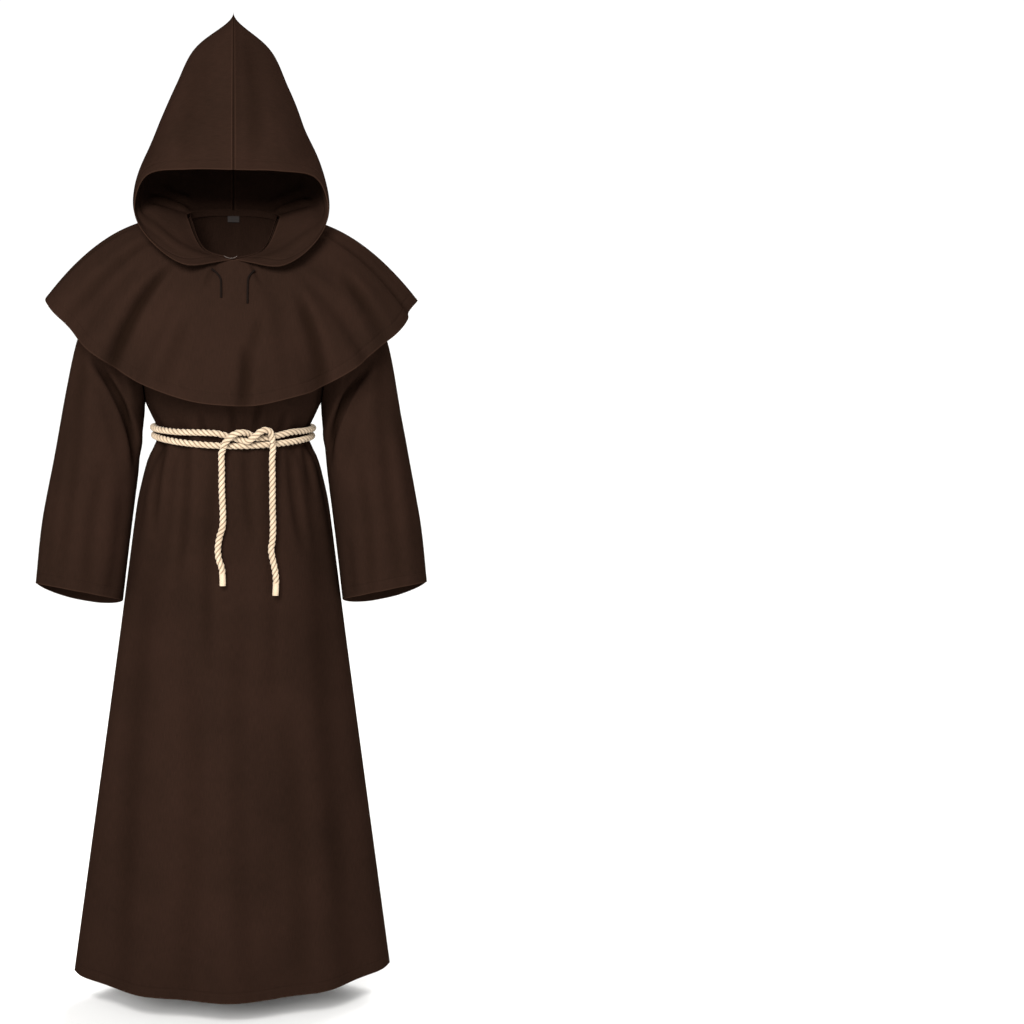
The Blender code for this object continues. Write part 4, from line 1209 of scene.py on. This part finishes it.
def stations(route: Sequence[Vector], spacing: float, reference: Optional[Vector] = None) -> list[Station]:
    """Even cross-sections along a smooth curve through a route.

    Args:
        route: Points that the cord passes through.
        spacing: Distance between cross-sections, in metres.
        reference: A direction that the sections keep, or None to carry them along untwisted.

    Returns:
        The cross-sections from the first point to the last.
    """
    fine = [through(route, i / (len(route) * 24)) for i in range(len(route) * 24 + 1)]
    lengths = [0.0]
    for a, b in zip(fine, fine[1:]):
        lengths.append(lengths[-1] + (b - a).length)
    count = ceil(lengths[-1] / spacing)
    centres, at = [], 0
    for k in range(count + 1):
        goal = lengths[-1] * k / count
        while at < len(fine) - 2 and lengths[at + 1] < goal:
            at += 1
        span = lengths[at + 1] - lengths[at]
        centres.append(fine[at].lerp(fine[at + 1], min((goal - lengths[at]) / span, 1.0)))
    found: list[Station] = []
    side = reference or FIRST_ACROSS
    for k, centre in enumerate(centres):
        ahead = (centres[min(k + 1, count)] - centres[max(k - 1, 0)]).normalized()
        side = square_to(ahead, reference or side)
        found.append(Station(centre, side, ahead.cross(side), lengths[-1] * k / count))
    return found


@dataclass
class Cord:
    """A cord of any kind, drawn as one tube along its cross-sections."""

    name: str
    diameter: float
    sides: int = 12
    cyclic: bool = False

    def radius(self, share: float, station: Station) -> tuple[float, float]:
        """Radius at a share of the way round, and how deep in a groove that is."""
        return self.diameter / 2, 0.0

    def turned(self, station: Station) -> float:
        """How far the cord is twisted at a cross-section, in radians."""
        return 0.0

    def uv(self, share: float, station: Station) -> tuple[float, float]:
        """Place in the pattern of the cord's yarns."""
        return share * 4, station.at / (self.diameter * 0.8)

    def build(self, line: Sequence[Station], material: bpy.types.Material) -> bpy.types.Object:
        """Make the tube.

        Args:
            line: Its cross-sections; a cyclic cord's last one is its first again.
            material: Its finish.

        Returns:
            The object, linked to the scene.
        """
        steps = len(line) - 1
        mesh = bmesh.new()
        groove = mesh.verts.layers.float.new("groove")
        tag = mesh.verts.layers.int.new("tag")
        yarn = mesh.loops.layers.uv.new("yarn")
        bmesh.ops.create_grid(mesh, x_segments=self.sides, y_segments=steps, size=1)
        for vert in mesh.verts:
            i, j = round((vert.co.x + 1) / 2 * self.sides), round((vert.co.y + 1) / 2 * steps)
            station = line[j]
            reach, vert[groove] = self.radius(i / self.sides, station)
            angle = 2 * pi * i / self.sides + self.turned(station)
            vert[tag] = i * (steps + 1) + j
            vert.co = station.centre + (station.side * cos(angle) + station.up * sin(angle)) * reach
        for face in mesh.faces:
            for loop in face.loops:
                i, j = divmod(loop.vert[tag], steps + 1)
                loop[yarn].uv = self.uv(i / self.sides, line[j])
        bmesh.ops.remove_doubles(mesh, verts=mesh.verts, dist=1e-6)
        if not self.cyclic:
            bmesh.ops.holes_fill(mesh, edges=[e for e in mesh.edges if e.is_boundary], sides=0)
        return finish_mesh(self.name, mesh, material)


@dataclass
class StrandRope(Cord):
    """A rope of three strands laid round each other, its bare end bound smooth."""

    sides: int = 42
    smooth_from: float = inf

    def radius(self, share: float, station: Station) -> tuple[float, float]:
        """Three round strands, smooth over the bound end."""
        half = self.diameter / 2
        away = (share * 3) % 1.0 * 2 * pi / 3
        away = min(away, 2 * pi / 3 - away)
        middle, strand = STRAND_MIDDLE * half, STRAND_RADIUS * half
        lobed = middle * cos(away) + sqrt(strand * strand - (middle * sin(away)) ** 2)
        bound = smooth_step((station.at - self.smooth_from) / BINDING_FADE)
        depth = (half - lobed) / (STRAND_GROOVE * half)
        return lobed + (BOUND_RADIUS * half - lobed) * bound, depth * (1 - bound)

    def turned(self, station: Station) -> float:
        """The strands' turn, one round for each pitch."""
        return 2 * pi * station.at / ROPE_PITCH

    def uv(self, share: float, station: Station) -> tuple[float, float]:
        """Yarns that run nearly along the rope, against the strands' twist."""
        round_at = 2 * pi * share + self.turned(station)
        return round_at * self.diameter / 2 / YARN - station.at / YARN_DRIFT, station.at


class RopeBelt:
    """The rope belt: two turns round the waist, the knot in front and two hanging ends."""

    def __init__(self) -> None:
        """Lay the whole rope's route and cut it into its pieces."""
        knot_right = [self.place(turn) for turn in reversed(KNOT_FROM_RIGHT)]
        knot_left = [self.place(turn) for turn in KNOT_FROM_LEFT]
        upper = knot_right + [self.round_waist(angle, self.height(angle, UPPER_TURN_FRONT,
                              UPPER_TURN_FRONT, UPPER_TURN_BACK)) for angle in UPPER_TURN_ANGLES]
        self.upper = stations(upper + knot_left, ROPE_STEP)
        self.left = self.hanging(self.upper[0], self.upper[6], HANGING_LEFT)
        self.right = self.hanging(self.upper[-1], self.upper[-7], HANGING_RIGHT)
        angles = [360 * k / LOWER_TURN_POINTS for k in range(-2, LOWER_TURN_POINTS + 3)]
        heights = (LOWER_TURN_FRONT, LOWER_TURN_SIDE, LOWER_TURN_BACK)
        ring = [self.round_waist(angle, self.height(angle, *heights)) for angle in angles]
        self.lower = self.one_round(stations(ring, ROPE_STEP, UPRIGHT))

    def one_round(self, whole: list[Station]) -> list[Station]:
        """The part of an overlapping ring that runs once round and closes on itself."""
        start = min(range(len(whole) // 3), key=lambda k: abs(whole[k].centre.x) + (whole[k].centre.y > 0))
        end = min(range(len(whole) // 2, len(whole)),
                  key=lambda k: (whole[k].centre - whole[start].centre).length)
        line = whole[start:end + 1]
        length = line[-1].at - line[0].at
        rounds = round(length / ROPE_PITCH)
        scale = rounds * ROPE_PITCH / length
        line = [Station(s.centre, s.side, s.up, (s.at - line[0].at) * scale) for s in line]
        return line[:-1] + [Station(line[0].centre, line[0].side, line[0].up, rounds * ROPE_PITCH)]

    @staticmethod
    def place(turn: Turn) -> Vector:
        """Centre of the rope at a place in front of the robe, one rope further out for each layer."""
        ring = from_table(BODY_RINGS, turn.z)
        share = min(abs(turn.x) / ring.half_width, 1.0)
        rest = (ring.front * (1 - share * share) ** (ring.point / 2) + ROPE / 2 + ROPE_CLEARANCE
                + SKIRT_WAVE_DEPTH * 0.2)
        return Vector((turn.x, -rest - turn.layer * ROPE, turn.z))

    @staticmethod
    def round_waist(angle: float, height: float) -> Vector:
        """Centre of the rope round the waist at an angle from the front in degrees."""
        ring = from_table(BODY_RINGS, height)
        turn = radians(angle)
        depth = ring.front if cos(turn) > 0 else ring.back
        outward = Vector((sin(turn) / ring.half_width, -cos(turn) / depth, 0)).normalized()
        return (Vector((ring.half_width * sin(turn), -depth * cos(turn), height))
                + outward * (ROPE / 2 + ROPE_CLEARANCE))

    @staticmethod
    def height(angle: float, front: float, side: float, back: float) -> float:
        """Height of a turn of the belt at an angle from the front in degrees."""
        share = cos(radians(angle))
        return side + ((front - side) if share > 0 else (back - side)) * share ** 2

    def hanging(self, last: Station, before: Station, turns: Sequence[Turn]) -> list[Station]:
        """Cross-sections of a hanging end, straight on from the knot and down to its tip."""
        along = (last.centre - before.centre).normalized()
        route = [last.centre + along * 2 * SEAM, last.centre + along * ROPE]
        line = stations(route + [self.place(turn) for turn in turns], ROPE_STEP)
        shift = last.side.angle(line[0].side) * (1 if last.side.cross(line[0].side).dot(along) > 0 else -1)
        found = []
        for station in line:
            side = station.side * cos(shift) - station.up * sin(shift)
            ahead = station.side.cross(station.up)
            found.append(Station(station.centre, side, ahead.cross(side), station.at))
        return found

    def build(self, material: bpy.types.Material) -> list[bpy.types.Object]:
        """Args:
            material: The twisted cotton.

        Returns:
            The objects.
        """
        found = [StrandRope("lower_turn_strands", ROPE, cyclic=True).build(self.lower, material),
                 StrandRope("upper_turn_strands", ROPE).build(self.upper, material)]
        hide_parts("rope_turn_lower")
        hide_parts("rope_turn_upper")
        for name, line in (("left", self.left), ("right", self.right)):
            end = line[-1].at
            rope = StrandRope(f"end_{name}_strands", ROPE, smooth_from=end - BOUND_END).build(line, material)
            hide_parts(f"rope_end_{name}")
            found.append(rope)
        return found


class FrontTack:
    """The pale thread that tacks the hood's two front corners together."""

    def build(self, material: bpy.types.Material) -> list[bpy.types.Object]:
        """Make the thread."""
        line = stations([Vector(point) for point in TACK_ROUTE], TACK_STEP)
        return [Cord("front_tack_thread", TACK, sides=10).build(line, material)]


class Drawstrings:
    """The two ends of the hood's drawstring, which come out under its face edge onto the cape."""

    def build(self, material: bpy.types.Material) -> list[bpy.types.Object]:
        """Make both ends and hide the solids that they replace."""
        found = []
        for name, rows in (("left", STRING_LEFT), ("right", STRING_RIGHT)):
            line = stations([self.on_cape(x, z) for x, z in rows], STRING_STEP)
            string = Cord(f"string_{name}_braid", DRAWSTRING).build(line, material)
            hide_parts(f"drawstring_{name}")
            found.append(string)
        return found

    @staticmethod
    def on_cape(x: float, z: float) -> Vector:
        """Point of the string that lies on the front of the cape at a width and a height."""
        angle, out = 60 * x / 0.1, 0.2
        for _ in range(60):
            point = cape_point(angle, out)
            out += 1.5 * (point.z - z)
            angle += 180 * (x - point.x)
        run = cape_point(angle + 0.5, out) - cape_point(angle - 0.5, out)
        fall = cape_point(angle, out + 0.005) - cape_point(angle, out - 0.005)
        return point + fall.cross(run).normalized() * (DRAWSTRING / 2 + STRING_CLEARANCE)


class Studio:
    """The camera, the pale floor and the soft light round the costume."""

    def camera(self) -> bpy.types.Object:
        """Camera at the photo's height and distance, turned to the right of the costume."""
        data = bpy.data.cameras.new("photo_camera")
        data.sensor_width = CAMERA_SENSOR
        data.lens = CAMERA_LENS
        item = put_in_scene("photo_camera", data)
        item.matrix_world = (Matrix.Translation(CAMERA_PLACE)
                             @ Matrix.Rotation(radians(90 - CAMERA_DOWN), 4, "X")
                             @ Matrix.Rotation(radians(-CAMERA_RIGHT), 4, "Y"))
        bpy.context.scene.camera = item
        return item

    def floor(self) -> bpy.types.Object:
        """A plain pale floor a little below the hem."""
        mesh = bmesh.new()
        bmesh.ops.create_grid(mesh, x_segments=1, y_segments=1, size=FLOOR_SIZE / 2)
        data = bpy.data.meshes.new("floor")
        mesh.to_mesh(data)
        mesh.free()
        kit = NodeKit("white_painted_floor")
        kit.shader.inputs["Base Color"].default_value = linear("f4f3f1")
        kit.shader.inputs["Roughness"].default_value = 0.8
        data.materials.append(kit.material)
        item = put_in_scene("floor", data)
        item.location.z = FLOOR_HEIGHT
        return item

    def light(self) -> None:
        """A room that is bright round the horizon, with a soft key light from the upper left."""
        world = bpy.data.worlds.new("white_room")
        world.use_nodes = True
        tree = world.node_tree
        place = tree.nodes.new("ShaderNodeTexCoord").outputs["Generated"]
        axes = tree.nodes.new("ShaderNodeSeparateXYZ")
        tree.links.new(place, axes.inputs[0])
        height = tree.nodes.new("ShaderNodeMath")
        height.operation = "ABSOLUTE"
        tree.links.new(axes.outputs[2], height.inputs[0])
        fade = tree.nodes.new("ShaderNodeMapRange")
        fade.interpolation_type = "SMOOTHSTEP"
        room = (HORIZON_ENDS, CEILING_STARTS, HORIZON_LIGHT, CEILING_LIGHT)
        for socket, value in zip(fade.inputs[1:5], room):
            socket.default_value = value
        tree.links.new(height.outputs[0], fade.inputs[0])
        tree.links.new(fade.outputs[0], tree.nodes["Background"].inputs[1])
        tree.nodes["Background"].inputs[0].default_value = linear("ffffff")
        bpy.context.scene.world = world
        for name, place, strength, spread_angle in SUN_LIGHTS:
            data = bpy.data.lights.new(name, "SUN")
            data.energy = strength
            data.angle = radians(spread_angle)
            put_in_scene(name, data).rotation_euler = Vector(place).to_track_quat("Z", "Y").to_euler()
        for name, place, power, width in SOFT_BOXES:
            data = bpy.data.lights.new(name, "AREA")
            data.energy = power
            data.size = width
            item = put_in_scene(name, data)
            item.location = place
            item.rotation_euler = (Vector(place) - Vector(SOFT_BOX_AIM)).to_track_quat("Z", "Y").to_euler()


class Robe:
    """The cloth pieces of the costume, each built as a sheet of its own cut."""

    def __init__(self) -> None:
        """Set out each piece's grid, edge and creases."""
        panel_rows = ([i / 90 * (BODY_RINGS[0].height - ARMPIT_HEIGHT) for i in range(90, 0, -1)]
                      + spread(0, 1, 34))
        self.panels = [
            Panel("front_panel_cloth", spread(-1, 1, 150), panel_rows, 1, free_edge=Edge.FIRST_ROW,
                  sewn=SIDE_SEAMS, side=Side.FRONT, creases=FRONT_CREASES),
            Panel("back_panel_cloth", spread(-1, 1, 190), panel_rows, -1, free_edge=Edge.FIRST_ROW,
                  sewn=SIDE_SEAMS, side=Side.BACK, creases=BACK_CREASES)]
        self.sleeves = [Sleeve(f"sleeve_{hand.name.lower()}_cloth", spread(0, 1, 112), spread(0, 1, 110),
                               -hand.value, closed=True, free_edge=Edge.LAST_ROW, sewn=SIDE_SEAMS, hand=hand,
                               creases=SLEEVE_CREASES[hand]) for hand in Hand]
        self.cape = Cape("cape_cloth", spread(-180, 180, 440), spread(0, 1, 76), -1,
                         free_edge=Edge.LAST_ROW, sewn=(*SIDE_SEAMS, Edge.FIRST_ROW), creases=CAPE_CREASES)
        self.hood = [HoodHalf(f"hood_{hand.name.lower()}_cloth", spread(0, 1, 84), spread(0, 1, 92),
                              hand.value, free_edge=Edge.FIRST_COLUMN,
                              sewn=(Edge.LAST_COLUMN, Edge.LAST_ROW, Edge.FIRST_ROW), hand=hand,
                              creases=HOOD_CREASES[hand]) for hand in Hand]

    def build(self, cloth: bpy.types.Material, tape: bpy.types.Material) -> list[bpy.types.Object]:
        """Make every cloth piece, log the size of its cut and hide the solid that it replaces.

        Args:
            cloth: The brown cloth.
            tape: The label's tape.

        Returns:
            The objects.
        """
        band = NeckBand("neck_band_cloth", spread(-180, 180, 96), spread(0, 1, 5), -1, closed=True,
                        thick=NECK_BAND)
        found = []
        for piece, node in zip([*self.panels, *self.sleeves, self.cape, *self.hood, band],
                               [*CLOTH_NODES, None]):
            item = piece.build(cloth)
            LOG.info("%s: %.3f x %.3f m, %.4f m2", piece.name, *piece.flat, piece.area)
            if node:
                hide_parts(node)
            found.append(item)
        label = SizeLabel("size_label_tape", LABEL_COLUMNS, LABEL_ROWS, -1, thick=LABEL).build(tape)
        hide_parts("size_label")
        return found + [label]


def report(items: Sequence[bpy.types.Object]) -> None:
    """Log each piece and give it its body."""
    for item in items:
        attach(item, BODY)
        LOG.info("%s: %d faces", item.name, len(item.data.polygons))


def main() -> None:
    """Build the studio, the rope and the cloth, and finish the frame."""
    logging.basicConfig(level=logging.INFO, format="%(message)s")
    bpy.context.scene.view_settings.view_transform = "Standard"
    studio = Studio()
    studio.camera()
    report(RopeBelt().build(TwistedCotton().make()))
    report(Drawstrings().build(BraidedCord().make()))
    report(FrontTack().build(PALE_THREAD.make()))
    cloth = Robe().build(WovenCloth().make(), LabelTape().make())
    report(cloth[:-1])
    report(cloth[-1:])
    studio.floor()
    studio.light()


if __name__ == "__main__":
    main()
